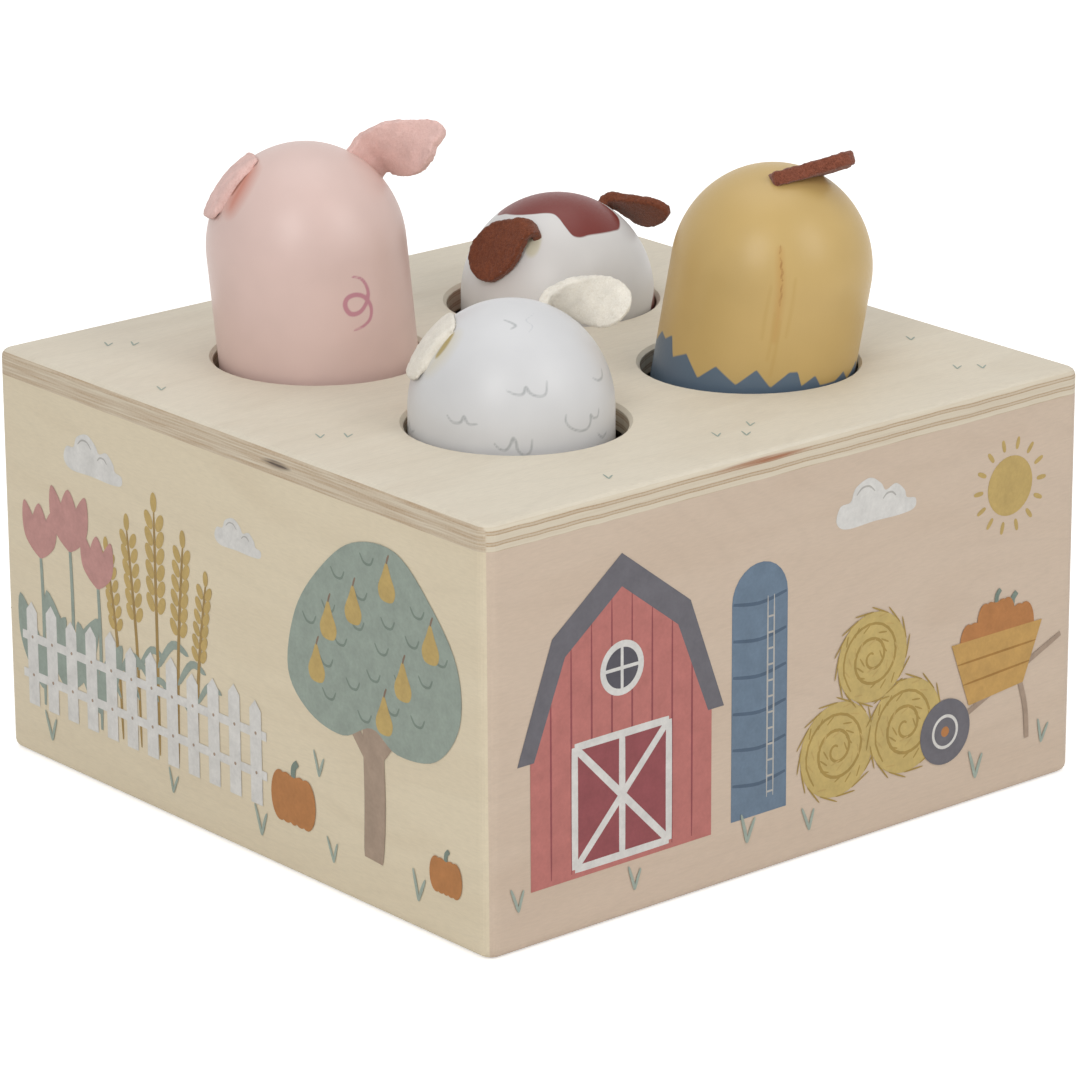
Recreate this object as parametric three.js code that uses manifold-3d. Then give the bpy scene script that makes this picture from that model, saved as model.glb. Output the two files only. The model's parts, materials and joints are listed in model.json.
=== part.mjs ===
// Pop up animal toy: a plywood box whose four turned pegs are joined in pairs by see-saw rockers.
// Millimetres, +Z up. The origin is the middle of the box's underside, and -Y is the front.
import * as THREE from "three";
import { mergeVertices } from "three/addons/utils/BufferGeometryUtils.js";
import Module from "manifold-3d";

const wasm = await Module();
wasm.setup();

// Box
const boxSide = 150;
const boxHeight = 83;
const lidThickness = 5;
const wallThickness = 6;
const baseThickness = 5;
const cornerRadius = 3;
const edgeRadius = 1.6;
const rimRadius = 0.7;
const holeRadius = 21.25;
const holePitch = 59;

// Corner blocks and the screws that hold the base plate to them
const blockSide = 13;
const blockChamfer = 5;
const blockHeight = 46;
const screwRadius = 1.6;
const screwHeadRadius = 3.4;
const screwHeadHeight = 2;
const screwLength = 16;
const screwPointLength = 4;
const screwSink = 0.4;
const driveWidth = 0.9;
const driveSpan = 3.6;
const driveDepth = 1.2;

// Axle and what carries it; the axle hangs at a fixed drop below the lid's top
const pivotDrop = 51.3;
const axleRadius = 3;
const axleOverhang = 2;
const postWidth = 22;
const postThickness = 9;
const postHeadRadius = 8.5;
const spacerRadius = 5.5;
const washerRadius = 6.5;
const washerThickness = 1.2;

// Rockers: flat on top, deepest at the hub
const rockerReach = 37;
const rockerWidth = 18;
const rockerTop = 8;
const rockerHubDepth = 8;
const rockerHubReach = 11;
const rockerTipDepth = 4;
const rockerWaist = 1;
const rockerBevel = 0.8;
const backTilt = 19.5;
const frontTilt = 16.3;

// Figures: the turned peg, its retaining disc and its foot
const figureRadius = 19.5;
const figureLength = 50;
const domeHeight = 20.4;
const figureChamfer = 1;
const discRadius = 24;
const discThickness = 4;
const discChamfer = 0.6;
const spigotRadius = 5;
const spigotDepth = 16;
const footRadius = 6;
const footLength = 20;
const shoulderRadius = 8.5;
const shoulderHeight = 3;

// Felt
const feltThickness = 3;
const feltRootDepth = 4;
const feltStandOff = 1;
const feltBendRadius = 2.6;
const feltTipShare = 0.16;

// Clearances, and how finely round things are cut
const fitGap = 0.3;
const restGap = 0.45;
const overrun = 20;
const mergeTolerance = 1e-4;
const roundSegments = 48;
const holeSegments = 48;
const hiddenSegments = 28;
const boltSegments = 16;
const domeSteps = 11;
const ballSteps = 6;
const cornerSteps = 4;
const feltSteps = 14;
const bendSteps = 4;

// Places that follow from the sizes above
const pivotHeight = boxHeight - pivotDrop;
const innerHalf = boxSide / 2 - wallThickness;
const lidUnderside = boxHeight - lidThickness;
const holeOffset = holePitch / 2;
const figureStraight = figureLength - domeHeight;
const footStack = footLength - footRadius + discThickness + fitGap;
const screwOffset = innerHalf - fitGap - blockSide / 2;
const rockerInner = holeOffset - rockerWidth / 2;
const rockerOuter = holeOffset + rockerWidth / 2;
const outerPostInner = rockerOuter + fitGap + washerThickness + fitGap;
const outerPostOffset = outerPostInner + postThickness / 2;
const axleHalf = outerPostInner + postThickness + axleOverhang;
const ballAbovePivot = rockerTop + restGap + footRadius;

// Each figure: its hole, how its rocker is tilted, how it leans and stands off its hole's centre, and its
// heading. Leans and shifts run along one level line, leanHeading, and headings count from +X towards +Y.
const leanHeading = -40.25;
const figures = [
  { name: "pig", side: -1, row: 1, tilt: backTilt, lean: -5.1, shift: -0.6, heading: 83 },
  { name: "cow", side: 1, row: 1, tilt: -backTilt, lean: 0, shift: 1.2, heading: 107 },
  { name: "sheep", side: -1, row: -1, tilt: -frontTilt, lean: 0, shift: -0.9, heading: 98 },
  { name: "hen", side: 1, row: -1, tilt: frontTilt, lean: 9.4, shift: 1.1, heading: 50 },
];

// Each ear: from is the middle of its slot on the dome, in degrees round from the face and up, and turn is how
// far the slot is turned from upright. The felt bends over about the slot's line, towards the face (below zero:
// away from it), and twists by its tip. It starts at rootShare of its width, is widest at wideShare of its
// length and has a squarer end as roundness grows.
const pigFelt = { length: 19, width: 12.8, rootShare: 0.74, wideShare: 0.5, roundness: 2.4 };
const cowFelt = { length: 16, width: 11, rootShare: 0.6, wideShare: 0.6, roundness: 2.2 };
const sheepFelt = { length: 17.5, width: 11.5, rootShare: 0.7, wideShare: 0.6, roundness: 2.6 };
const ears = [
  { figure: "pig", name: "pig_ear_left", felt: pigFelt, from: [102, 45], turn: -5, bend: 112, twist: 0 },
  { figure: "pig", name: "pig_ear_right", felt: pigFelt, from: [-98, 42], turn: 13, bend: -60, twist: -70 },
  { figure: "cow", name: "cow_ear_left", felt: cowFelt, from: [105, 44], turn: 33, bend: 115, twist: -13 },
  { figure: "cow", name: "cow_ear_right", felt: cowFelt, from: [-105, 47], turn: 24, bend: -92, twist: -14 },
  { figure: "sheep", name: "sheep_ear_left", felt: sheepFelt, from: [83, 38], turn: -5, bend: 112, twist: 0 },
  { figure: "sheep", name: "sheep_ear_right", felt: sheepFelt, from: [-76, 45], turn: 19, bend: -70, twist: -30 },
];

// The hen's comb: a lobed felt plate in a saw cut along the head, laid over to one side
const combLength = 11;
const combHeight = 19.5;
const combLobes = 2;
const combLobeRadius = combLength / (2 * combLobes);
const combTilt = 26;
const combNod = 20;
const combCutHeight = 16;
const combForward = -1.8;
const combShift = -5.4;

// Materials
function painted(color, roughness = 0.45) {
  return new THREE.MeshStandardMaterial({ color, roughness, metalness: 0 });
}
const plywood = painted(0xd2c6b0, 0.6);
const beech = painted(0xc9a678, 0.55);
const pine = painted(0xd9bd8c, 0.65);
const steel = new THREE.MeshStandardMaterial({ color: 0xb8b8b6, roughness: 0.35, metalness: 1 });
const paints = {
  pig: painted(0xd8bfb5),
  cow: painted(0xd8d5d1),
  sheep: painted(0xdedede),
  hen: painted(0xbea069),
};
const felts = {
  pig: painted(0xdcaaa5, 0.95),
  cow: painted(0x693a2a, 0.95),
  sheep: painted(0xe3dcc8, 0.95),
  hen: painted(0x7d4c3c, 0.95),
};

// Solids and meshes
function solidOf(geometry) {
  const bare = geometry.index ? geometry.toNonIndexed() : geometry.clone();
  bare.deleteAttribute("normal");
  bare.deleteAttribute("uv");
  const merged = mergeVertices(bare, mergeTolerance);
  return new wasm.Manifold(
    new wasm.Mesh({
      numProp: 3,
      vertProperties: merged.attributes.position.array,
      triVerts: new Uint32Array(merged.index.array),
    }),
  );
}

function meshOf(name, shape, material) {
  if (shape instanceof THREE.BufferGeometry) return namedMesh(name, shape, material);
  const made = shape.getMesh();
  const geometry = new THREE.BufferGeometry();
  geometry.setAttribute("position", new THREE.BufferAttribute(made.vertProperties, made.numProp));
  geometry.setIndex(new THREE.BufferAttribute(made.triVerts, 1));
  geometry.computeVertexNormals();
  return namedMesh(name, geometry, material);
}

function namedMesh(name, geometry, material) {
  const mesh = new THREE.Mesh(geometry, material);
  mesh.name = name;
  return mesh;
}

function cuboid(x, y, z, cx, cy, cz) {
  return solidOf(new THREE.BoxGeometry(x, y, z).translate(cx, cy, cz));
}

// A turned piece about +Z, from a profile of [radius, height] points that starts and ends on the axis.
function turned(profile, segments) {
  const points = profile.map(([r, z]) => new THREE.Vector2(r, z));
  return new THREE.LatheGeometry(points, segments).rotateX(Math.PI / 2);
}

// A ring about +Z with square edges.
function ring(outer, inner, height) {
  const shape = new THREE.Shape().absarc(0, 0, outer, 0, 2 * Math.PI);
  shape.holes.push(new THREE.Path().absarc(0, 0, inner, 0, 2 * Math.PI, true));
  return new THREE.ExtrudeGeometry(shape, { depth: height, bevelEnabled: false, curveSegments: boltSegments });
}

function roundedSquare(side, radius) {
  const c = side / 2 - radius;
  const shape = new THREE.Shape();
  [[c, c], [-c, c], [-c, -c], [c, -c]].forEach(([x, y], k) => {
    shape.absarc(x, y, radius, (k * Math.PI) / 2, ((k + 1) * Math.PI) / 2);
  });
  shape.closePath();
  return shape;
}

// The plan of the box, extruded, with its upper and lower edges rounded over.
function roundedBlock(shape, height, radius) {
  return new THREE.ExtrudeGeometry(shape, {
    depth: height - 2 * radius,
    bevelThickness: radius,
    bevelSize: radius,
    bevelOffset: -radius,
    bevelSegments: cornerSteps,
    curveSegments: cornerSteps,
  }).translate(0, 0, radius);
}

// Lid: the rounded plan with its lower edge cut square, then the four holes with their eased rims.
function lid() {
  const height = lidThickness + edgeRadius;
  const block = solidOf(
    roundedBlock(roundedSquare(boxSide, cornerRadius), height, edgeRadius).translate(0, 0, boxHeight - height),
  );
  const wide = boxSide + overrun;
  const square = block.subtract(cuboid(wide, wide, overrun, 0, 0, lidUnderside - overrun / 2));
  const rim = holeRadius + rimRadius;
  const cutter = turned(
    [
      [0, lidUnderside - overrun],
      [holeRadius, lidUnderside - overrun],
      [holeRadius, boxHeight - rimRadius],
      [rim, boxHeight],
      [rim, boxHeight + overrun],
      [0, boxHeight + overrun],
    ],
    holeSegments,
  );
  return figures.reduce(
    (made, { side, row }) =>
      made.subtract(solidOf(cutter.clone().translate(side * holeOffset, row * holeOffset, 0))),
    square,
  );
}

// Walls: one rounded, hollowed frame parted into four by its mitres.
function frame() {
  const height = lidUnderside + edgeRadius;
  const outer = solidOf(roundedBlock(roundedSquare(boxSide, cornerRadius), height, edgeRadius));
  const wide = boxSide + overrun;
  const hollow = cuboid(2 * innerHalf, 2 * innerHalf, boxHeight + overrun, 0, 0, boxHeight / 2);
  return outer.subtract(cuboid(wide, wide, overrun, 0, 0, lidUnderside + overrun / 2)).subtract(hollow);
}

function wall(whole, quarter) {
  const wedge = new THREE.Shape();
  wedge.moveTo(0, 0);
  wedge.lineTo(-boxSide, -boxSide);
  wedge.lineTo(boxSide, -boxSide);
  wedge.closePath();
  const prism = new THREE.ExtrudeGeometry(wedge, { depth: boxHeight, bevelEnabled: false });
  return whole.intersect(solidOf(prism.rotateZ((quarter * Math.PI) / 2)));
}

function basePlate() {
  const side = 2 * (innerHalf - fitGap);
  const hole = turned(
    [
      [0, -overrun],
      [screwHeadRadius + fitGap, -overrun],
      [screwHeadRadius + fitGap, screwSink],
      [screwRadius + fitGap, screwSink + screwHeadHeight],
      [screwRadius + fitGap, baseThickness + overrun],
      [0, baseThickness + overrun],
    ],
    boltSegments,
  );
  return corners().reduce(
    (made, { x, y }) => made.subtract(solidOf(hole.clone().translate(x, y, 0))),
    cuboid(side, side, baseThickness, 0, 0, baseThickness / 2),
  );
}

// The four upright corners, where blocks and screws stand.
function corners() {
  const names = ["front_left", "front_right", "back_right", "back_left"];
  return names.map((name, k) => ({
    name,
    quarter: k,
    x: [-screwOffset, screwOffset, screwOffset, -screwOffset][k],
    y: [-screwOffset, -screwOffset, screwOffset, screwOffset][k],
  }));
}

// Corner block: a square stick with its inner corner planed off and a bore for the screw.
function cornerBlock() {
  const h = blockSide / 2;
  const plan = new THREE.Shape();
  plan.moveTo(-h, -h);
  plan.lineTo(h, -h);
  plan.lineTo(h, h - blockChamfer);
  plan.lineTo(h - blockChamfer, h);
  plan.lineTo(-h, h);
  plan.closePath();
  plan.holes.push(new THREE.Path().absarc(0, 0, screwRadius + fitGap, 0, 2 * Math.PI, true));
  return new THREE.ExtrudeGeometry(plan, {
    depth: blockHeight,
    bevelEnabled: false,
    curveSegments: boltSegments,
  });
}

// Countersunk screw, point up, with its cross recess in the underside of the head.
function screw() {
  const shank = solidOf(
    turned(
      [
        [0, 0],
        [screwHeadRadius, 0],
        [screwRadius, screwHeadHeight],
        [screwRadius, screwLength - screwPointLength],
        [0, screwLength],
      ],
      boltSegments,
    ),
  );
  return [0, Math.PI / 2].reduce((made, turn) => {
    const arm = new THREE.BoxGeometry(driveSpan, driveWidth, 2 * driveDepth).rotateZ(turn);
    return made.subtract(solidOf(arm));
  }, shank);
}

// Axle post: an upright with a round head about the axle, cut in the XZ plane and extruded along Y.
function axlePost() {
  const w = postWidth / 2;
  const rise = pivotHeight - baseThickness;
  const shape = new THREE.Shape();
  shape.moveTo(-w, -rise);
  shape.lineTo(w, -rise);
  shape.lineTo(postHeadRadius, 0);
  shape.absarc(0, 0, postHeadRadius, 0, Math.PI);
  shape.closePath();
  shape.holes.push(new THREE.Path().absarc(0, 0, axleRadius + fitGap, 0, 2 * Math.PI, true));
  return acrossBox(shape, postThickness, 0);
}

// Extrudes an outline drawn in x and z along Y, centred on y 0.
function acrossBox(shape, width, bevel) {
  return new THREE.ExtrudeGeometry(shape, {
    depth: width - 2 * bevel,
    bevelEnabled: bevel > 0,
    bevelThickness: bevel,
    bevelSize: bevel,
    bevelOffset: -bevel,
    bevelSegments: 1,
    curveSegments: boltSegments,
  })
    .translate(0, 0, bevel - width / 2)
    .rotateX(Math.PI / 2);
}

// Rocker: a flat-topped lever, swelling down round its bore at the middle.
function rocker() {
  const shape = new THREE.Shape();
  const tip = rockerTop - rockerTipDepth;
  shape.moveTo(-rockerReach, rockerTop);
  shape.lineTo(-rockerReach, tip);
  shape.quadraticCurveTo(-rockerReach / 2, rockerWaist, -rockerHubReach, rockerWaist);
  shape.quadraticCurveTo(-rockerHubReach / 2, -rockerHubDepth, 0, -rockerHubDepth);
  shape.quadraticCurveTo(rockerHubReach / 2, -rockerHubDepth, rockerHubReach, rockerWaist);
  shape.quadraticCurveTo(rockerReach / 2, rockerWaist, rockerReach, tip);
  shape.lineTo(rockerReach, rockerTop);
  shape.closePath();
  shape.holes.push(new THREE.Path().absarc(0, 0, axleRadius + fitGap, 0, 2 * Math.PI, true));
  return acrossBox(shape, rockerWidth, rockerBevel);
}

// Figure: a straight peg with a half-ellipsoid dome, bored from below for its foot's spigot.
function peg() {
  const bore = spigotRadius + fitGap;
  const dome = Array.from({ length: domeSteps + 1 }, (_, k) => {
    const a = (k / domeSteps) * (Math.PI / 2);
    return k === domeSteps
      ? [0, figureLength]
      : [figureRadius * Math.cos(a), figureStraight + domeHeight * Math.sin(a)];
  });
  return solidOf(
    turned(
      [
        [0, spigotDepth + fitGap],
        [bore, spigotDepth + fitGap],
        [bore, 0],
        [figureRadius - figureChamfer, 0],
        [figureRadius, figureChamfer],
        ...dome,
      ],
      roundSegments,
    ),
  );
}

function retainingDisc() {
  const bore = spigotRadius + fitGap;
  const profile = [
    [bore, 0],
    [discRadius - discChamfer, 0],
    [discRadius, discChamfer],
    [discRadius, discThickness - discChamfer],
    [discRadius - discChamfer, discThickness],
    [bore, discThickness],
    [bore, 0],
  ];
  return turned(profile, hiddenSegments);
}

// Foot: a spigot up into the peg, a shoulder that keeps the disc on, and a stem that ends in a ball.
// Its origin is the ball's centre.
function foot() {
  const shoulderTop = footLength - footRadius - fitGap;
  const ball = Array.from({ length: ballSteps }, (_, k) => {
    const a = (k / ballSteps - 1) * (Math.PI / 2);
    return k === 0 ? [0, -footRadius] : [footRadius * Math.cos(a), footRadius * Math.sin(a)];
  });
  return turned(
    [
      ...ball,
      [footRadius, 0],
      [footRadius, shoulderTop - 2 * shoulderHeight],
      [shoulderRadius, shoulderTop - shoulderHeight],
      [shoulderRadius, shoulderTop],
      [spigotRadius, shoulderTop],
      [spigotRadius, footStack + spigotDepth],
      [0, footStack + spigotDepth],
    ],
    hiddenSegments,
  );
}

// A unit vector from two angles: round from the face (+X here) and up.
function pointing([around, up]) {
  const a = THREE.MathUtils.degToRad(around);
  const e = THREE.MathUtils.degToRad(up);
  return new THREE.Vector3(Math.cos(a) * Math.cos(e), Math.sin(a) * Math.cos(e), Math.sin(e));
}

// Where an ear's middle leaves the dome, and the two directions of its slot there.
function root({ from, turn }) {
  const out = pointing(from);
  const seat = new THREE.Vector3(figureRadius, figureRadius, domeHeight).multiply(out);
  const across = pointing([from[0], from[1] + 90]).applyAxisAngle(out, THREE.MathUtils.degToRad(turn));
  return { out, seat, across };
}

// The slot that an ear is glued into, as its cutter.
function slot(ear) {
  const { out, seat, across } = root(ear);
  const atSurface = (feltRootDepth + feltStandOff) / (feltRootDepth + ear.felt.length);
  const width = ear.felt.width * widthShare(ear.felt, atSurface) + 2 * fitGap;
  const depth = feltRootDepth + fitGap;
  const box = new THREE.BoxGeometry(depth + overrun, feltThickness + 2 * fitGap, width);
  box.translate((overrun - depth) / 2, 0, 0);
  const turned = new THREE.Matrix4().makeBasis(out, across.clone().cross(out), across);
  return solidOf(box.applyMatrix4(turned.setPosition(seat)));
}

// A felt ear: a strip that leaves the dome square to it, bends over about its slot's line and runs on straight.
function ear({ felt, from, turn, bend, twist }) {
  const { out, seat, across } = root({ from, turn });
  const angle = THREE.MathUtils.degToRad(Math.abs(bend));
  const pivot = across.clone().multiplyScalar(-Math.sign(from[0] * bend));
  const total = feltRootDepth + felt.length;
  const straight = feltRootDepth + feltStandOff;
  const bent = feltBendRadius * angle;
  const stops = [0, straight];
  for (let k = 1; k <= bendSteps; k += 1) stops.push(straight + (bent * k) / bendSteps);
  for (let k = 1; k <= feltSteps; k += 1) {
    const left = (1 - k / feltSteps) ** 2;
    stops.push(straight + bent + (total - straight - bent) * (1 - left));
  }
  const centre = seat.addScaledVector(out, -feltRootDepth);
  const thick = feltThickness / 2;
  let reached = 0;
  const rings = stops.map((stop) => {
    const middle = THREE.MathUtils.clamp(((stop + reached) / 2 - straight) / bent, 0, 1);
    centre.addScaledVector(out.clone().applyAxisAngle(pivot, angle * middle), stop - reached);
    reached = stop;
    const turnedBy = THREE.MathUtils.clamp((stop - straight) / bent, 0, 1);
    const heading = out.clone().applyAxisAngle(pivot, angle * turnedBy);
    const twisted = Math.max(0, stop - straight) / (total - straight);
    const side = across.clone().applyAxisAngle(heading, THREE.MathUtils.degToRad(twist) * twisted);
    const normal = side.clone().cross(heading);
    const half = (felt.width / 2) * widthShare(felt, stop / total);
    return [[1, 1], [-1, 1], [-1, -1], [1, -1]].map(([a, b]) =>
      centre.clone().addScaledVector(side, a * half).addScaledVector(normal, b * thick),
    );
  });
  return loft(rings);
}

// The share of a felt piece's full width that it has at a share of its length.
function widthShare({ rootShare, wideShare, roundness }, u) {
  if (u <= wideShare) {
    return rootShare + (1 - rootShare) * Math.sin((Math.max(0, u) / wideShare) * (Math.PI / 2));
  }
  const v = Math.min(1, (u - wideShare) / (1 - wideShare));
  return Math.max(feltTipShare, (1 - v ** roundness) ** (1 / roundness));
}

// A closed solid through four-cornered sections.
function loft(rings) {
  const flat = rings.flat();
  const faces = [];
  const quad = (a, b, c, d) => faces.push(a, b, c, a, c, d);
  for (let k = 0; k + 1 < rings.length; k += 1) {
    for (let i = 0; i < 4; i += 1) {
      const j = (i + 1) % 4;
      quad(4 * k + i, 4 * k + j, 4 * k + 4 + j, 4 * k + 4 + i);
    }
  }
  const last = 4 * (rings.length - 1);
  quad(3, 2, 1, 0);
  quad(last, last + 1, last + 2, last + 3);
  const geometry = new THREE.BufferGeometry();
  const places = flat.flatMap((p) => [p.x, p.y, p.z]);
  geometry.setAttribute("position", new THREE.Float32BufferAttribute(places, 3));
  geometry.setIndex(faces);
  const made = solidOf(geometry);
  if (made.volume() > 0) return made;
  for (let i = 0; i < faces.length; i += 3) [faces[i], faces[i + 1]] = [faces[i + 1], faces[i]];
  geometry.setIndex(faces);
  return solidOf(geometry);
}

// The comb's plate: a straight root, and lobes along its free edge. It lies in its own XY plane, root along X.
function comb(grown) {
  const half = combLength / 2 + grown;
  const lobe = combLobeRadius + grown / combLobes;
  const crest = combHeight - combLobeRadius;
  const shape = new THREE.Shape();
  shape.moveTo(-half, -grown);
  shape.lineTo(half, -grown);
  shape.lineTo(half, crest);
  for (let k = combLobes - 1; k >= 0; k -= 1) {
    shape.absarc((2 * k + 1 - combLobes) * lobe, crest, lobe, 0, Math.PI);
  }
  shape.closePath();
  const thick = feltThickness + 2 * grown;
  const plate = new THREE.ExtrudeGeometry(shape, {
    depth: thick,
    bevelEnabled: false,
    curveSegments: cornerSteps,
  });
  plate.translate(0, 0, -thick / 2);
  // root along the head (X) and nodding to the face, blade out to the right (-Y) and raised by the tilt
  plate.rotateZ(Math.PI);
  plate.rotateX(-THREE.MathUtils.degToRad(combTilt));
  plate.rotateY(THREE.MathUtils.degToRad(combNod));
  plate.translate(combForward, -combShift, combCutHeight);
  return solidOf(plate);
}

// The level direction that the figures lean along.
function leanLine() {
  const a = THREE.MathUtils.degToRad(leanHeading);
  return new THREE.Vector3(Math.cos(a), Math.sin(a), 0);
}

// A figure's axis, and the place of its foot's ball on it, where the ball stands on the tilted rocker.
function stance({ side, row, tilt, lean, shift }) {
  const leanAngle = THREE.MathUtils.degToRad(lean);
  const axis = new THREE.Vector3(0, 0, Math.cos(leanAngle)).addScaledVector(leanLine(), Math.sin(leanAngle));
  const atLid = new THREE.Vector3(side * holeOffset, row * holeOffset, boxHeight);
  atLid.addScaledVector(leanLine(), shift);
  const pivot = new THREE.Vector3(0, row * holeOffset, pivotHeight);
  const slope = THREE.MathUtils.degToRad(tilt);
  const up = new THREE.Vector3(-side * Math.sin(slope), 0, Math.cos(slope));
  const along = (ballAbovePivot - atLid.clone().sub(pivot).dot(up)) / axis.dot(up);
  return { axis, ball: atLid.addScaledVector(axis, along) };
}

// One figure with its disc, foot and felt, in a group that leans and stands as in its hole.
function figureGroup(figure) {
  const { name, heading } = figure;
  const { axis, ball } = stance(figure);
  const group = new THREE.Group();
  group.position.copy(ball);
  group.quaternion.setFromUnitVectors(new THREE.Vector3(0, 0, 1), axis);
  const discBottom = footLength - footRadius;
  const pegBottom = footStack;
  const domeCentre = pegBottom + figureStraight;
  const disc = meshOf(`${name}_retaining_disc`, retainingDisc(), beech);
  disc.position.z = discBottom;
  group.add(disc, meshOf(`${name}_foot`, foot(), beech));

  const head = new THREE.Group();
  head.position.z = domeCentre;
  head.rotation.z = THREE.MathUtils.degToRad(heading);
  const own = ears.filter((e) => e.figure === name);
  const felt = own.map((e) => ({ name: e.name, shape: ear(e), cutter: slot(e) }));
  if (name === "hen") felt.push({ name: "hen_comb", shape: comb(0), cutter: comb(fitGap) });
  const body = felt.reduce(
    (made, { cutter }) => made.subtract(cutter),
    peg().translate([0, 0, -figureStraight]),
  );
  head.add(meshOf(`${name}_figure`, body, paints[name]));
  felt.forEach((f) => head.add(meshOf(f.name, f.shape, felts[name])));
  group.add(head);
  return group;
}

// Rockers on their axle, with what stands between them.
function mechanism() {
  const group = new THREE.Group();
  const axle = new THREE.CylinderGeometry(axleRadius, axleRadius, 2 * axleHalf, boltSegments);
  const axleMesh = namedMesh("axle", axle, steel);
  axleMesh.position.z = pivotHeight;
  group.add(axleMesh);
  [["front", -outerPostOffset], ["centre", 0], ["back", outerPostOffset]].forEach(([name, y]) => {
    const post = namedMesh(`axle_post_${name}`, axlePost(), beech);
    post.position.set(0, y, pivotHeight);
    group.add(post);
  });
  const spacerLength = rockerInner - postThickness / 2 - 2 * fitGap;
  [["front", -1, frontTilt], ["back", 1, -backTilt]].forEach(([name, row, tilt]) => {
    const lever = namedMesh(`rocker_${name}`, rocker(), plywood);
    lever.position.set(0, row * holeOffset, pivotHeight);
    lever.rotation.y = -THREE.MathUtils.degToRad(tilt);
    const spacer = namedMesh(
      `spacer_${name}`,
      ring(spacerRadius, axleRadius + fitGap, spacerLength),
      beech,
    );
    spacer.rotation.x = (-row * Math.PI) / 2;
    spacer.position.set(0, row * (postThickness / 2 + fitGap), pivotHeight);
    const washer = namedMesh(
      `washer_${name}`,
      ring(washerRadius, axleRadius + fitGap, washerThickness),
      steel,
    );
    washer.rotation.x = (-row * Math.PI) / 2;
    washer.position.set(0, row * (rockerOuter + fitGap), pivotHeight);
    group.add(lever, spacer, washer);
  });
  return group;
}

function box() {
  const group = new THREE.Group();
  group.add(meshOf("lid", lid(), plywood));
  const whole = frame();
  ["front", "right", "back", "left"].forEach((name, quarter) => {
    group.add(meshOf(`wall_${name}`, wall(whole, quarter), plywood));
  });
  group.add(meshOf("base_plate", basePlate(), plywood));
  corners().forEach(({ name, quarter, x, y }) => {
    const block = namedMesh(`corner_block_${name}`, cornerBlock(), pine);
    block.position.set(x, y, baseThickness);
    block.rotation.z = (quarter * Math.PI) / 2;
    const bolt = meshOf(`base_screw_${name}`, screw(), steel);
    bolt.position.set(x, y, screwSink);
    group.add(block, bolt);
  });
  return group;
}

const toy = new THREE.Group();
toy.add(box(), mechanism(), ...figures.map(figureGroup));

export default toy;
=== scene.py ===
# Looks of the pop up animal toy: plywood box, painted turned animals, felt ears, a printed farm
import bmesh
import bpy
import json
import math
import numpy as np
from mathutils import Matrix, Vector, noise


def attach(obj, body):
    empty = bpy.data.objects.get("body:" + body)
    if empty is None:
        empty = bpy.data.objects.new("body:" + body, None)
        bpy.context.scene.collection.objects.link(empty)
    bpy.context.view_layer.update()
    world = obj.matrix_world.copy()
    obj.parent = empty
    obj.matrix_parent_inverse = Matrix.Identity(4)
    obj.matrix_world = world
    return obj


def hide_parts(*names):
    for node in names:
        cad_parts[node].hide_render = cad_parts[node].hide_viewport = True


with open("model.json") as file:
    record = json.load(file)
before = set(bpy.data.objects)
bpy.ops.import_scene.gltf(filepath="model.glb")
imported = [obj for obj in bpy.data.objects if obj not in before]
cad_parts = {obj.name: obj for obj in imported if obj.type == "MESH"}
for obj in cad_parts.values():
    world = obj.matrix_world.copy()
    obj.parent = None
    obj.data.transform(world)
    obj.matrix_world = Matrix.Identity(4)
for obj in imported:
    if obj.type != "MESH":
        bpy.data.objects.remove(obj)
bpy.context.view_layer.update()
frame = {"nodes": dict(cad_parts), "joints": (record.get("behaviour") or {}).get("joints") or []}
scene = bpy.context.scene
scene.view_settings.view_transform = "Standard"
MM = 0.001

# The animals: which way each one faces, in degrees from +X towards +Y
HEADINGS = {"pig": 83, "cow": 107, "sheep": 98, "hen": 50}
# In millimetres: a peg's radius, its dome's height and its straight side; how far its dome's foot is above the
# point that its turning joint names; the radius and the depth of the bore for its foot; the box
PEG_RADIUS, DOME_HEIGHT, PEG_STRAIGHT = 19.5, 20.4, 29.6
DOME_CENTRE = 47.9
SPIGOT_BORE, BORE_DEPTH = 5.3, 16.3
BOX_HALF, LID_UNDERSIDE, BOX_TOP = 75.0, 78.0, 83.0


# ---- node trees

def linear(hex_colour):
    """An sRGB hex colour as linear red, green, blue and alpha."""
    parts = [int(hex_colour[i:i + 2], 16) / 255 for i in (0, 2, 4)]
    return [c / 12.92 if c <= 0.04045 else ((c + 0.055) / 1.055) ** 2.4 for c in parts] + [1.0]


def new_material(name):
    material = bpy.data.materials.new(name)
    material.use_nodes = True
    material.node_tree.nodes.clear()
    return material


def add(tree, kind, inputs=(), **settings):
    """Adds a node: settings are its properties, inputs the values or links of its sockets."""
    made = tree.nodes.new("ShaderNode" + kind)
    for key, value in settings.items():
        setattr(made, key, value)
    for key, value in dict(inputs).items():
        if isinstance(value, bpy.types.NodeSocket):
            tree.links.new(value, made.inputs[key])
        else:
            made.inputs[key].default_value = value
    return made


def math_node(tree, operation, a, b=0.0):
    return add(tree, "Math", {0: a, 1: b}, operation=operation).outputs[0]


def times(tree, a, b):
    return math_node(tree, "MULTIPLY", a, b)


def blend_colour(tree, share, under, over, how="MIX"):
    made = add(tree, "Mix", {0: share, 6: under, 7: over}, data_type="RGBA", blend_type=how)
    return made.outputs[2]


def ramp(tree, value, low, high, out_low=0.0, out_high=1.0):
    inputs = {"Value": value, "From Min": low, "From Max": high, "To Min": out_low, "To Max": out_high}
    return add(tree, "MapRange", inputs).outputs[0]


def surface(tree, colour, roughness, more):
    shader = add(tree, "BsdfPrincipled", {"Base Color": colour, "Roughness": roughness, **more})
    add(tree, "OutputMaterial", {"Surface": shader.outputs[0]})


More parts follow.
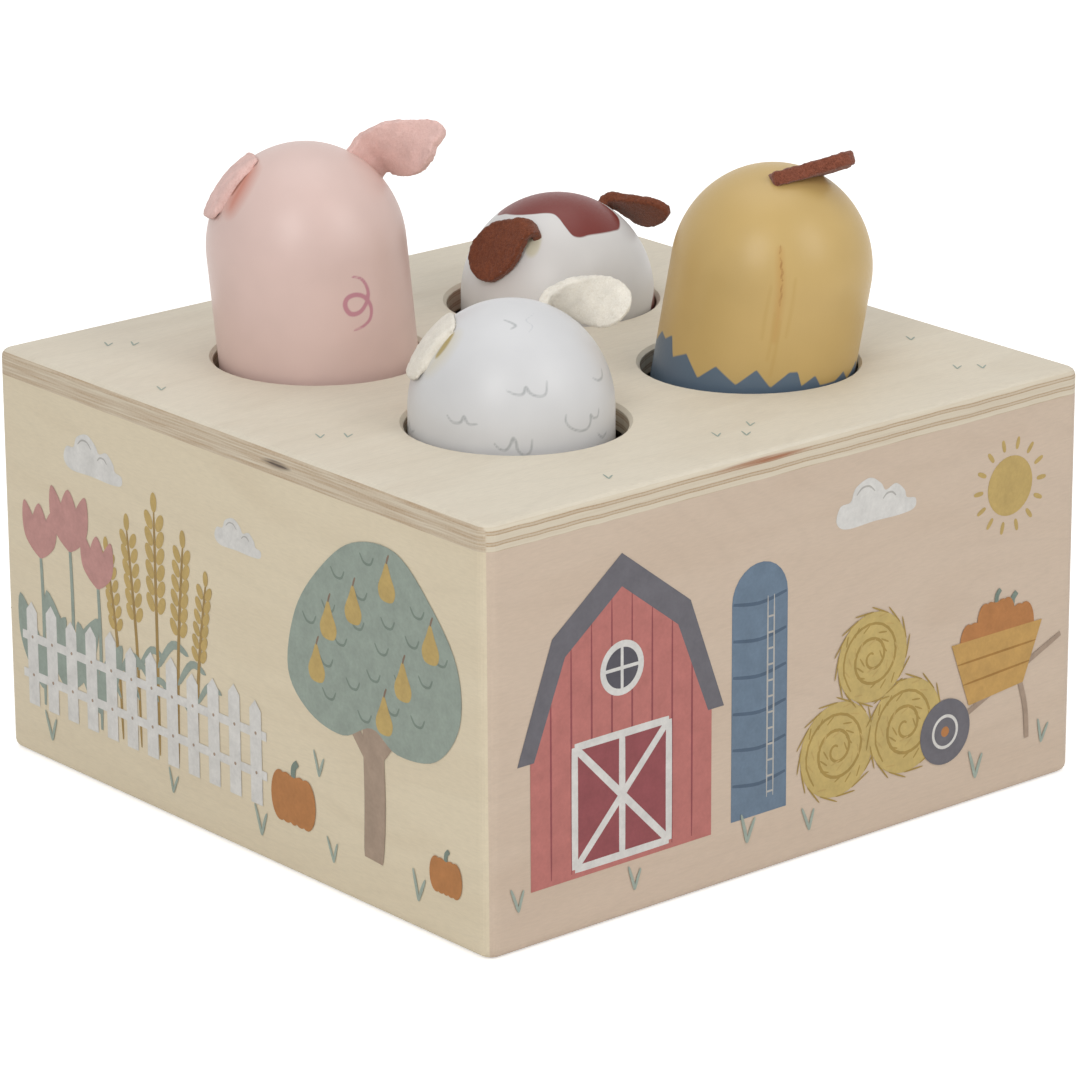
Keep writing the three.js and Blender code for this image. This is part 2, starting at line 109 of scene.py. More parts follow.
def start_material(name, matrix=Matrix.Identity(4)):
    """A new material, its node tree, and the object's coordinates in millimetres, in the frame whose place in
    the object is matrix (metres)."""
    material = new_material(name)
    tree = material.node_tree
    inverse = matrix.inverted()
    inputs = {"Vector": add(tree, "TexCoord").outputs["Object"], "Location": inverse.translation / MM,
              "Rotation": inverse.to_euler("XYZ"), "Scale": (1 / MM,) * 3}
    return material, tree, add(tree, "Mapping", inputs).outputs[0]


def noise_at(tree, vector, scale, detail, **more):
    return add(tree, "TexNoise", {"Vector": vector, "Scale": scale, "Detail": detail, **more}).outputs[0]


def mapped(tree, vector, scale, **more):
    return add(tree, "Mapping", {"Vector": vector, "Scale": scale, **more}).outputs[0]


def grain_scale(along, across_grain, with_grain):
    """The scale of a noise that is drawn out along the grain's axis."""
    return [with_grain if axis == along else across_grain for axis in "XYZ"]


def times_grey(tree, colour, value):
    """A colour made darker or brighter by a value near one."""
    grey = add(tree, "CombineColor", {0: value, 1: value, 2: value}).outputs[0]
    return blend_colour(tree, 1.0, colour, grey, "MULTIPLY")


def bump(tree, height, strength, distance, **more):
    return add(tree, "Bump", {"Height": height, "Strength": strength, "Distance": distance, **more}).outputs[0]


# ---- materials

# How far each of these darkens the veneer, and how many contours a noise of 0 to 1 gives to its growth lines
FLECKS, CLOUDS, LINES, CONTOURS = 0.045, 0.014, 0.022, 19.0


def veneer(tree, place, along, hex_colour):
    """Sliced birch veneer, its grain along an axis: short dark flecks and thin growth lines over soft clouds.
    Returns its colour and the height of its grain."""
    fleck = noise_at(tree, mapped(tree, place, grain_scale(along, 2.6, 0.4)), 1.0, 3.0, Roughness=0.65)
    cloud = noise_at(tree, mapped(tree, place, grain_scale(along, 0.11, 0.022)), 1.0, 2.0, Distortion=0.9)
    dark = ramp(tree, fleck, 0.35, 0.72, 1.0 + FLECKS * 0.6, 1.0 - FLECKS)
    tone = ramp(tree, cloud, 0.3, 0.7, 1.0 + CLOUDS * 0.5, 1.0 - CLOUDS)
    drawn = mapped(tree, place, grain_scale(along, 0.028, 0.007), Location=(3.1, 7.4, 1.7))
    contour = times(tree, noise_at(tree, drawn, 1.0, 1.0, Distortion=0.4), CONTOURS)
    growth = ramp(tree, math_node(tree, "PINGPONG", contour, 0.5), 0.0, 0.16, 1.0 - LINES, 1.0)
    value = times(tree, times(tree, dark, tone), growth)
    colour = times_grey(tree, linear(hex_colour), value)
    warm = ramp(tree, cloud, 0.45, 0.75, 0.0, 0.07)
    return blend_colour(tree, warm, colour, linear("c9ab86"), "MULTIPLY"), fleck


def matt_varnish(tree, colour, height):
    normal = bump(tree, height, 0.12, 0.0001)
    surface(tree, colour, 0.58, {"Normal": normal, "Specular IOR Level": 0.35})


def birch_wall(name, along, hex_colour):
    """Sanded birch veneer under matt varnish: soft sheen, fine horizontal flecks and growth lines."""
    material, tree, place = start_material(name)
    matt_varnish(tree, *veneer(tree, place, along, hex_colour))
    return material


# How much long grain, which is pale, shows at each share of the lid's height: five plies with dark glue between
PLIES = [(0.0, 0.25), (0.03, 1.0), (0.2, 0.95), (0.215, 0.0), (0.24, 0.05), (0.27, 0.55), (0.31, 0.5),
         (0.335, 0.0), (0.355, 0.05), (0.375, 0.9), (0.6, 0.95), (0.615, 0.0), (0.64, 0.05), (0.67, 0.55),
         (0.71, 0.5), (0.735, 0.0), (0.755, 0.05), (0.775, 1.0)]
# A dark knot and a streak of brown heartwood in the plies: centre, half sizes, colour and strength
EDGE_MARKS = [((-BOX_HALF, -14.5, 80.3), (1, 4, 0.75), "4c3f37", 0.95),
              ((-9, -BOX_HALF, 81.6), (11, 1, 0.6), "9c6648", 0.9)]


def cut_edge(tree, place):
    """The lid's cut edges by height: end grain brown and long grain pale, swapped on the two sides that cut
    the plies the other way, with streaks, a knot and heartwood."""
    x, _, z = add(tree, "SeparateXYZ", {0: place}).outputs
    level = math_node(tree, "ADD", z, ramp(tree, noise_at(tree, place, 0.12, 1.0), 0.3, 0.7, -0.12, 0.12))
    by_height = add(tree, "ValToRGB", {0: ramp(tree, level, LID_UNDERSIDE, BOX_TOP)})
    stops = by_height.color_ramp.elements
    while len(stops) < len(PLIES):
        stops.new(0.5)
    for stop, (at, pale) in zip(stops, PLIES):
        stop.position, stop.color = at, (pale, pale, pale, 1)
    bands = by_height.outputs[0]
    swapped = blend_colour(tree, 0.75, linear("ffffff"), bands, "DIFFERENCE")
    streak = ramp(tree, noise_at(tree, mapped(tree, place, (0.07, 0.07, 2.4)), 1.0, 3.0), 0.3, 0.7)
    on_other_sides = ramp(tree, math_node(tree, "ABSOLUTE", x), BOX_HALF - 1.0, BOX_HALF - 0.7)
    pattern = blend_colour(tree, on_other_sides, blend_colour(tree, 0.2, bands, streak),
                           blend_colour(tree, 0.6, swapped, streak))
    pores = ramp(tree, noise_at(tree, place, 2.4, 3.0), 0.3, 0.7)
    edge = blend_colour(tree, pattern, blend_colour(tree, pores, linear("a58a6c"), linear("b8a083")),
                        linear("d6ccb8"))
    for centre, size, tint, strength in EDGE_MARKS:
        inside = mapped(tree, place, [1 / r for r in size], Location=[-c / r for c, r in zip(centre, size)])
        away = add(tree, "VectorMath", {0: inside}, operation="LENGTH").outputs[1]
        rough = times(tree, streak, ramp(tree, away, 0.3, 1.25, strength, 0.0))
        edge = blend_colour(tree, ramp(tree, rough, 0.0, 0.5, 0.0, strength), edge, linear(tint))
    return edge


def birch_plywood_lid(name):
    """Five-ply birch under matt varnish: veneer on its flat faces, plies where it is cut."""
    material, tree, place = start_material(name)
    top, height = veneer(tree, place, "X", "d9d0be")
    facing = add(tree, "SeparateXYZ", {0: add(tree, "NewGeometry").outputs["Normal"]}).outputs[2]
    is_edge = ramp(tree, math_node(tree, "ABSOLUTE", facing), 0.62, 0.75, 1.0, 0.0)
    matt_varnish(tree, blend_colour(tree, is_edge, top, cut_edge(tree, place)), height)
    return material


def painted_beech(name, matrix, hex_colour, layers):
    """Beech under satin paint, with a trace of its grain and a fine orange peel. Each layer is (attribute,
    colour, softness), a painted shape whose attribute is the distance from its edge, below zero inside."""
    material, tree, place = start_material(name, matrix)
    mottle = ramp(tree, noise_at(tree, place, 0.09, 2.0), 0.3, 0.7, 1.025, 0.965)
    colour = times_grey(tree, linear(hex_colour), mottle)
    for attribute, tint, softness in layers:
        distance = add(tree, "Attribute", attribute_name=attribute).outputs["Fac"]
        mask = ramp(tree, distance, -softness, softness, 1.0, 0.0)
        colour = blend_colour(tree, mask, colour, linear(tint))
    grain = noise_at(tree, mapped(tree, place, (1.7, 1.7, 0.07)), 1.0, 3.0)
    speck = noise_at(tree, place, 1.6, 2.0)
    peel = bump(tree, speck, 0.1, 0.00008, Normal=bump(tree, grain, 0.1, 0.0001))
    rough = ramp(tree, speck, 0.3, 0.7, 0.33, 0.41)
    surface(tree, colour, rough, {"Normal": peel, "Specular IOR Level": 0.45})
    return material


def wool_felt(name, hex_colour, dark_hex):
    """Pressed wool felt: matted fibres about half a millimetre wide in soft tufts, no gloss, a faint sheen."""
    material, tree, place = start_material(name)
    fibre = noise_at(tree, place, 2.2, 5.0, Roughness=0.7, Distortion=1.2)
    tuft = noise_at(tree, place, 0.35, 2.0)
    colour = blend_colour(tree, ramp(tree, fibre, 0.32, 0.68), linear(dark_hex), linear(hex_colour))
    colour = times_grey(tree, colour, ramp(tree, tuft, 0.3, 0.7, 0.93, 1.05))
    surface(tree, colour, 0.95, {"Normal": bump(tree, fibre, 0.55, 0.0004), "Specular IOR Level": 0.15,
                                 "Sheen Weight": 0.25, "Sheen Roughness": 0.5})
    return material


def printed_ink(name):
    """Ink printed straight on the veneer: its colour is in the mesh, mottled and flecked like a thin wash."""
    material, tree, place = start_material(name)
    ink = add(tree, "Attribute", attribute_name="ink").outputs["Color"]
    wash = ramp(tree, noise_at(tree, place, 0.28, 4.0, Roughness=0.6), 0.3, 0.7, 0.9, 1.09)
    speck = ramp(tree, noise_at(tree, place, 1.4, 3.0), 0.3, 0.7, 0.96, 1.04)
    colour = times_grey(tree, ink, times(tree, wash, speck))
    surface(tree, colour, 0.6, {"Specular IOR Level": 0.3})
    return material


def bare_wood(name, hex_colour, dark_hex, along):
    """Bare beech, pine or plywood: long straight grain, no finish, dull."""
    material, tree, place = start_material(name)
    streak = noise_at(tree, mapped(tree, place, grain_scale(along, 0.9, 0.06)), 1.0, 4.0, Distortion=0.6)
    colour = blend_colour(tree, ramp(tree, streak, 0.3, 0.7), linear(dark_hex), linear(hex_colour))
    surface(tree, colour, 0.65, {"Normal": bump(tree, streak, 0.15, 0.0001)})
    return material


def zinc_plated_steel(name):
    """Zinc plate: pale metal with a faint cloudy spangle."""
    material, tree, place = start_material(name)
    rough = ramp(tree, noise_at(tree, place, 0.8, 3.0), 0.3, 0.7, 0.28, 0.42)
    surface(tree, linear("c2c2c0"), rough, {"Metallic": 1.0})
    return material


# ---- mesh helpers

def new_object(name, data):
    made = bpy.data.objects.new(name, data)
    bpy.context.collection.objects.link(made)
    return made


def piece(name, mesh_bm, material, body, matrix):
    """Turns a bmesh in millimetres into a named piece in place, riding on its body."""
    mesh_bm.transform(matrix @ Matrix.Scale(MM, 4))
    mesh = bpy.data.meshes.new(name)
    mesh_bm.to_mesh(mesh)
    mesh_bm.free()
    made = new_object(name, mesh)
    mesh.materials.append(material)
    mesh.shade_smooth()
    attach(made, body)
    return made


def head_frame(name):
    """The place of an animal's head: dome centre, +Z up its axis, +X the way its face looks."""
    turn = next(j for j in frame["joints"] if j["name"] == name + "_turn")
    axis = Vector(turn["axis"]).normalized()
    lean = Vector((0, 0, 1)).rotation_difference(axis).to_matrix().to_4x4()
    heading = Matrix.Rotation(math.radians(HEADINGS[name]), 4, "Z")
    up = Matrix.Translation((0, 0, DOME_CENTRE * MM))
    return Matrix.Translation(Vector(turn["pos_m"])) @ lean @ heading @ up


def pointing(around, up):
    """The direction that is so many degrees round from +X and up."""
    a, e = math.radians(around), math.radians(up)
    return Vector((math.cos(a) * math.cos(e), math.sin(a) * math.cos(e), math.sin(e)))


def on_peg(around, height):
    """A point of the peg's surface, in the head's frame, from degrees round and millimetres up."""
    share = max(0.0, min(1.0, height / DOME_HEIGHT))
    radius = PEG_RADIUS * math.sqrt(1 - share * share)
    a = math.radians(around)
    return Vector((radius * math.cos(a), radius * math.sin(a), height))


def line_distance(points, path, widths):
    """How far points are from the edge of a painted line: path's points with a half width at each."""
    best = np.full(len(points), 1e9)
    for (a, b), (wa, wb) in zip(zip(path[:-1], path[1:]), zip(widths[:-1], widths[1:])):
        a, b = np.array(a), np.array(b)
        d = b - a
        t = np.clip((points - a) @ d / max(d @ d, 1e-9), 0, 1)
        away = np.linalg.norm(points - a - t[:, None] * d, axis=1)
        best = np.minimum(best, away - (wa + (wb - wa) * t))
    return best


def smooth_path(points, closed=False, steps=5):
    """A smooth curve through points, each a tuple of numbers of any length."""
    p = [np.array(q, float) for q in points]
    n = len(p)
    out = []
    for i in range(n if closed else n - 1):
        a, b, c, d = (p[(i + k) % n] if closed else p[min(max(i + k, 0), n - 1)] for k in (-1, 0, 1, 2))
        for s in range(steps):
            t = s / steps
            out.append(0.5 * (2 * b + (c - a) * t + (2 * a - 5 * b + 4 * c - d) * t * t
                              + (3 * b - a - 3 * c + d) * t ** 3))
    if not closed:
        out.append(p[-1])
    return out


def rounded(points, steps=6):
    """A smooth closed outline through points."""
    return [tuple(q) for q in smooth_path(points, closed=True, steps=steps)]


def degrees_round(points, start):
    """How far round each point is, from start up to a full turn more."""
    return (np.degrees(np.arctan2(points[:, 1], points[:, 0])) - start) % 360 + start


# A painted shape is a field: a function that gives points of the peg their distance from the shape's edge

def line(marks, width, taper=0.35):
    """A painted line through marks (degrees round, height), thinner at its ends."""
    unwrapped = []
    for around, height in marks:
        if unwrapped:
            around += 360 * round((unwrapped[-1][0] - around) / 360)
        unwrapped.append((around, height))
    path = smooth_path(unwrapped)
    shares = [math.sin(math.pi * i / (len(path) - 1)) ** 0.6 for i in range(len(path))]
    widths = [width / 2 * (taper + (1 - taper) * s) for s in shares]
    return lambda points: line_distance(points, [on_peg(*q) for q in path], widths)


def spot(around, height, half_width, half_height, power=2.0):
    """A painted oval; a power above two makes it squarer."""
    def field(points):
        across = degrees_round(points, around - 180) - around
        radius = np.hypot(points[:, 0], points[:, 1])
        u = np.radians(across) * np.maximum(radius, 1.0) / half_width
        v = (points[:, 2] - height) / half_height
        far = np.where(np.abs(across) > 85, 9.0, 0.0)
        rim = (np.abs(u) ** power + np.abs(v) ** power) ** (1 / power)
        return (rim - 1 + far) * min(half_width, half_height)
    return field


def nearest(*fields):
    """Several shapes in one."""
    return lambda points: np.minimum.reduce([field(points) for field in fields])


def spots(around, *rest):
    """The same spot on both sides of the face."""
    return nearest(spot(around, *rest), spot(-around, *rest))


# ---- the painted animals

def peg_mesh():
    """The turned peg with its dome and the bore for its foot, spun about its axis."""
    profile = [(0, -PEG_STRAIGHT + BORE_DEPTH), (SPIGOT_BORE, -PEG_STRAIGHT + BORE_DEPTH),
               (SPIGOT_BORE, -PEG_STRAIGHT), (PEG_RADIUS - 1, -PEG_STRAIGHT), (PEG_RADIUS, -PEG_STRAIGHT + 1)]
    rows = 60
    profile += [(PEG_RADIUS, (-PEG_STRAIGHT + 1) * (1 - i / rows)) for i in range(1, rows)]
    steps = 76
    for i in range(steps + 1):
        a = math.pi / 2 * i / steps
        profile.append((PEG_RADIUS * math.cos(a) if i < steps else 0, DOME_HEIGHT * math.sin(a)))
    bm = bmesh.new()
    verts = [bm.verts.new((r, 0, z)) for r, z in profile]
    edges = [bm.edges.new(pair) for pair in zip(verts[:-1], verts[1:])]
    bmesh.ops.spin(bm, geom=verts + edges, cent=(0, 0, 0), axis=(0, 0, 1), angle=2 * math.pi,
                   steps=340, use_merge=True, use_duplicate=False)
    bmesh.ops.remove_doubles(bm, verts=bm.verts, dist=1e-4)
    bmesh.ops.recalc_face_normals(bm, faces=bm.faces)
    return bm


def paint(mesh, matrix, fields):
    """Stores each painted shape's distance at the mesh's points, in the head's frame."""
    places = np.empty(len(mesh.vertices) * 3)
    mesh.vertices.foreach_get("co", places)
    inverse = np.array((matrix @ Matrix.Scale(MM, 4)).inverted())
    points = places.reshape(-1, 3) @ inverse[:3, :3].T + inverse[:3, 3]
    for name, field in fields.items():
        mesh.attributes.new(name, "FLOAT", "POINT").data.foreach_set("value", field(points))


PIG_TAIL = [(175, -2.3), (180, -3.0), (183.2, -4.6), (184, -6.7), (180.6, -8.7), (176.5, -9.6), (171.8, -9.5),
            (169.2, -8.3), (169.1, -7.0), (171.5, -6.1), (176.7, -6.0), (181.8, -7.0), (185, -9.1),
            (183.6, -11.3), (178.7, -12.4), (172.8, -12.8)]
WOOL = [
    [(129.3, 8.4), (134.9, 7.7), (139.1, 7.8), (140.8, 8.9), (143.4, 7.8), (148, 7.2), (152.5, 7.5),
     (154.4, 9.6)],
    [(163.7, 3.3), (163.1, 2.1), (166, 0.7), (172, -0.3), (178, -0.3), (180.6, 0.7), (181, 2.1), (183.5, 1.3),
     (187.2, 1.3), (189, 2.7)],
    [(122.4, -1.2), (125, -2.2), (128.4, -2.6), (131, -1.7), (132.8, -0.2), (134.5, -1.1), (135.3, -2.5),
     (138.8, -3.6), (142.3, -2.9), (143.3, -0.6)],
    [(190, 8.2), (195, 7.4), (201, 7.6), (204.4, 8.8)],
    [(122, 18.9), (132, 18.6), (138, 18.2), (132, 17.8)],
    [(187, -2), (192, -3.2), (197, -2.6)],
    [(94, 3), (98, 1.9), (103, 2.1), (105, 3.3), (108, 2), (113, 2.2)],
    [(222, 2.4), (227, 1.2), (232, 1.5), (234, 2.7), (238, 1.2), (244, 1.8)],
    [(42, -2), (46, -3.3), (52, -3), (54, -1.7), (58, -3.2), (64, -2.4)],
    [(267, 10), (273, 8.9), (280, 9.3)],
    [(140, -9.4), (144, -10.6), (149, -10.8), (151.6, -9.7), (154.6, -10.9), (160, -10.4)],
    [(186, -7.6), (190, -8.9), (195.5, -9.1), (198, -8.0), (201.4, -9.2), (207, -8.7)],
    [(163, -14.2), (167, -15.5), (172.4, -15.6), (175, -14.5), (178.2, -15.6), (184, -15.2)],
    [(110, -8.3), (114, -9.5), (119.4, -9.4), (122, -8.4)],
    [(98, -14), (102, -15.2), (107.4, -15.2), (110, -14.1), (113, -15.3), (119, -14.8)],
    [(230, -12), (234, -13.3), (239.6, -13.2), (242, -12), (245.4, -13.2), (251, -12.7)],
    [(268, -5), (272, -6.2), (277.4, -6.2), (280, -5.1), (283, -6.2), (289, -5.8)],
    [(58, -9.6), (62, -10.8), (67.6, -10.8), (70, -9.7)],
]
COW_PATCH = [(48, 10.5), (67, 9.7), (85, 8.8), (104, 8.0), (117, 8.1), (125, 9.3), (131.5, 11.4), (136.5, 12.9),
             (143, 13.3), (152, 13.1), (165, 13.2), (179, 13.4), (188, 13.5), (199, 12.9), (211, 12.0),
             (226, 9.8), (244, 8.6), (266, 9.8), (284, 12.2), (304, 12.4), (324, 9.4), (349, 8.2),
             (369, 10.6), (389, 12.0)]
HEN_TEETH = [(103, -14.6), (110, -15.4), (117.3, -13.9), (121.5, -17.8), (132.6, -15.9), (143.2, -19.6),
             (153.3, -16.3), (166.5, -18.9), (176.6, -15.2), (186.0, -18.3), (195.4, -14.9), (200.5, -14.7),
             (204.2, -17.5), (212.3, -15.4), (217, -17.4), (229, -16.9), (236, -15.3), (242, -17.2),
             (255, -14.4), (266, -17.8), (279, -14.8), (291, -18.2), (305, -15), (318, -18), (331, -14.6),
             (344, -17.9), (357, -14.7), (371, -18), (385, -15), (398, -17.7), (412, -14.8),
             (425, -18.1), (438, -14.9), (452, -17.6), (463, -14.6)]
TEETH_SLANT = 0.55    # the teeth's sides lean, so that their edge is nearer than straight up or down


def cow_patch(points):
    """The brown patch over the cow's crown, whose radius is given by degrees round, as seen from above."""
    path = smooth_path(COW_PATCH + [(around + 360, radius) for around, radius in COW_PATCH[:2]])
    edge = np.interp(degrees_round(points, path[0][0]), *zip(*path))
    return np.where(points[:, 2] > 0, np.hypot(points[:, 0], points[:, 1]) - edge, 5.0)


def hen_base(points):
    """All that is below the hen's toothed border."""
    edge = np.interp(degrees_round(points, HEN_TEETH[0][0]), *zip(*HEN_TEETH))
    return (points[:, 2] - edge) * TEETH_SLANT


# Each animal's ground colour, and its layers of paint: attribute, colour, softness of the edge, and fields
ANIMALS = {
    "pig": ("d9beb6", [
        # Painted shade in the recess round the left ear's slot, and a painted shadow line for the slot's open
        # crack: the peg itself has no slot cut
        ("slot_shade", "c47c69", 1.9, line([(90.5, 17.3), (93.5, 14.7), (93, 11.2)], 3.6)),
        ("painted_slot_shadow", "96604f", 0.25, line([(87, 17.5), (88.2, 15.8), (87.4, 13.4)], 0.8)),
        ("tail", "c08792", 0.14, line(PIG_TAIL, 0.95)),
        ("snout", "cf9c95", 0.12, spot(0, -1.5, 5.4, 4.0)),
        ("ink", "4a4044", 0.08, spots(22, 5.5, 0.95, 1.2), spots(5.5, -1.4, 0.7, 1.2)),
    ]),
    "cow": ("d7d5d3", [
        ("patch", "701f13", 0.14, cow_patch),
        ("glue", "cfcab4", 0.3, spot(103, 13.8, 1.5, 2.1, 2.2)),
        ("side_spot", "7a4a42", 0.12, spot(213, -4, 6.5, 5.5, 1.7), spot(64, -14, 7, 6, 1.8)),
        ("muzzle", "d8aea4", 0.12, spot(0, -3, 7.2, 4.6)),
        ("ink", "3e3634", 0.08, spots(24, 6.5, 1.0, 1.3), spots(8, -2.4, 0.8, 1.2)),
    ]),
    "sheep": ("d3d3d4", [
        # Painted shade beside and below the left ear's slot, and a painted shadow line for the slot's open
        # crack: the peg itself has no slot cut
        ("slot_shade", "cfc8b6", 1.8, line([(75, 15.8), (76, 13), (70, 9.6)], 2.4)),
        ("painted_slot_shadow", "aa9763", 0.3, line([(70.5, 15.9), (72.2, 14.0), (71.0, 11.9)], 1.5)),
        ("wool", "adafb0", 0.16, *[line(marks, 0.5, 0.5) for marks in WOOL]),
        ("hairline", "bfc1c4", 0.12, line([(150, 17.2), (158, 18.0), (154, 18.8), (175, 19.3)], 0.2)),
        ("face", "d7b7a6", 0.12, spot(0, 0.5, 8.8, 7.6, 2.4)),
        ("ink", "4a4244", 0.08, spots(15, 3, 0.9, 1.2),
         line([(-3, -1), (0, -2.2), (3, -1)], 0.6), line([(0, -2.2), (0, -3.6)], 0.5)),
    ]),
    "hen": ("c4a669", [
        ("base", "596b7d", 0.1, hen_base),
        ("halo", "bd9352", 0.9, line([(178, 8.5), (180, 5), (182, 1), (183, -4), (183.5, -9)], 0.9)),
        ("crack", "9a6a34", 0.16,
         line([(177.8, 9.2), (178.4, 8.3), (177.9, 7.6)], 0.2),
         line([(178.6, 7.0), (180.2, 6.2), (179.9, 5.4), (181.6, 4.5), (181.2, 3.6), (182.6, 2.7)], 0.3),
         line([(182.7, 2.4), (182.2, 1.2), (183.0, 0.1), (182.6, -1.2), (183.1, -2.2)], 0.24)),
        ("grain", "bb9a58", 0.5,
         line([(184.6, -5), (185.2, -10), (184.8, -16)], 0.25),
         line([(181.3, -3.6), (181.9, -8), (181.5, -13)], 0.2),
         line([(189.4, 3.5), (190, -2), (189.7, -8)], 0.2),
         line([(176.4, 1.5), (176.1, -4), (176.5, -9)], 0.15)),
        ("wattle", "8d4a3a", 0.12, spots(5, -3.5, 1.6, 2.6)),
        ("beak", "c98c45", 0.1, spot(0, 1.2, 3.4, 2.6, 1.1)),
        ("ink", "453d38", 0.08, spots(20, 5, 0.95, 1.2)),
    ]),
}


def paint_animals():
    for name, (ground, layers) in ANIMALS.items():
        matrix = head_frame(name)
        tints = [layer[:3] for layer in layers]
        material = painted_beech(f"{name}_satin_paint_on_beech", matrix, ground, tints)
        made = piece(f"{name}_painted_peg", peg_mesh(), material, f"{name}_head", matrix)
        paint(made.data, matrix, {attribute: nearest(*fields) for attribute, _, _, *fields in layers})
        made.data.set_sharp_from_angle(angle=math.radians(40))
        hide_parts(f"{name}_figure")


# ---- felt

# In millimetres: the comb's thickness, the length of a felt's root in its slot, the radius to which a hugging
# blade curves, and the size of a felt's rounded rim and of its grid
COMB_THICKNESS, FELT_ROOT, HUG_RADIUS = 2.7, 4.0, PEG_RADIUS + 0.4
RIM, GRID = 0.55, 0.55
EAR_FUZZ, COMB_FUZZ = 0.16, 0.2    # how high the small lumps of the felt are


def felt_blank(outline, thickness):
    """A flat felt cut-out, length along X and width along Y, with a rounded rim and a fine grid of
    edges across it, so that it can bend."""
    bm = bmesh.new()
    face = bm.faces.new([bm.verts.new((x, y, -thickness / 2)) for x, y in outline])
    rim = bmesh.ops.extrude_face_region(bm, geom=[face])["geom"]
    bmesh.ops.translate(bm, verts=[g for g in rim if isinstance(g, bmesh.types.BMVert)], vec=(0, 0, thickness))
    bmesh.ops.recalc_face_normals(bm, faces=bm.faces)
    edges = [e for e in bm.edges if len(e.link_faces) == 2 and e.calc_face_angle() > 1.2
             and abs(e.verts[0].co.z - e.verts[1].co.z) < 1e-4]
    bmesh.ops.bevel(bm, geom=edges, offset=RIM, segments=3, profile=0.5, affect="EDGES", material=-1)
    for axis in (Vector((1, 0, 0)), Vector((0, 1, 0))):
        reach = [v.co @ axis for v in bm.verts]
        at, last = min(reach) + GRID, max(reach) - 0.1
        while at < last:
            bmesh.ops.bisect_plane(bm, geom=bm.verts[:] + bm.edges[:] + bm.faces[:], dist=1e-4,
                                   plane_co=axis * at, plane_no=axis)
            at += GRID
    walls = [e for e in bm.edges if abs(e.verts[0].co.z - e.verts[1].co.z) > thickness * 0.4]
    bmesh.ops.subdivide_edges(bm, edges=walls, cuts=3, use_grid_fill=True)
    bmesh.ops.triangulate(bm, faces=[f for f in bm.faces if len(f.verts) > 4])
    return bm


def bend_felt(bm, seat, out, across, pivot, fold, crease, twist=0.0):
    """Sets a flat blank at its seat: its root runs along out, then it folds about the pivot by fold degrees
    with a crease as below, and twists by degrees up to its tip."""
    stand_off, radius, hugs, _ = crease
    turn, straight = math.radians(fold), FELT_ROOT + stand_off
    length = max(v.co.x for v in bm.verts)
    side = pivot.cross(out)
    for vert in bm.verts:
        s, y, z = vert.co
        arc = min(max((s - straight) / radius, 0.0), turn)
        past = max(0.0, s - straight - radius * turn)
        centre = seat + out * (min(s, straight) - FELT_ROOT + radius * math.sin(arc))
        centre += side * (radius * (1 - math.cos(arc)))
        heading = Matrix.Rotation(arc, 3, pivot) @ out
        if hugs:
            curve = past / HUG_RADIUS
            centre += heading * (HUG_RADIUS * math.sin(curve))
            centre += pivot.cross(heading) * (HUG_RADIUS * (1 - math.cos(curve)))
            centre -= out * (y * y / (2 * HUG_RADIUS))
            heading = Matrix.Rotation(curve, 3, pivot) @ heading
        else:
            centre += heading * past
        share = min(max(s - straight, 0.0) / max(length - straight, 1.0), 1.0)
        wide = Matrix.Rotation(math.radians(twist) * share, 3, heading) @ across
        vert.co = centre + wide * y + wide.cross(heading) * z


def fuzz(bm, amount, seed):
    """Roughens felt with small lumps, so that its outline isn't ruled."""
    bmesh.ops.recalc_face_normals(bm, faces=bm.faces)
    bm.normal_update()
    moves = []
    for vert in bm.verts:
        p = vert.co
        n = noise.noise(p * 1.1 + Vector((seed, 0, 0))) + 0.7 * noise.noise(p * 2.6 + Vector((0, seed, 0)))
        moves.append(vert.normal * (amount * n))
    for vert, move in zip(bm.verts, moves):
        vert.co += move


COMB = [(0, -5.3), (6, -5.5), (11, -5.6), (14.4, -5.3), (16.2, -3.7), (15.8, -1.4), (14.8, 0.0), (15.8, 1.4),
        (16.1, 3.7), (14.2, 5.4), (10, 5.5), (5, 5.4), (0, 5.3)]

# A crease: how far it stands off the dome, its radius, whether the blade hugs the dome, and its thickness
LOOSE, SHARP, HUGGING = (1.0, 2.4, False, 2.0), (0.5, 1.7, False, 2.0), (0.0, 0.6, True, 1.0)
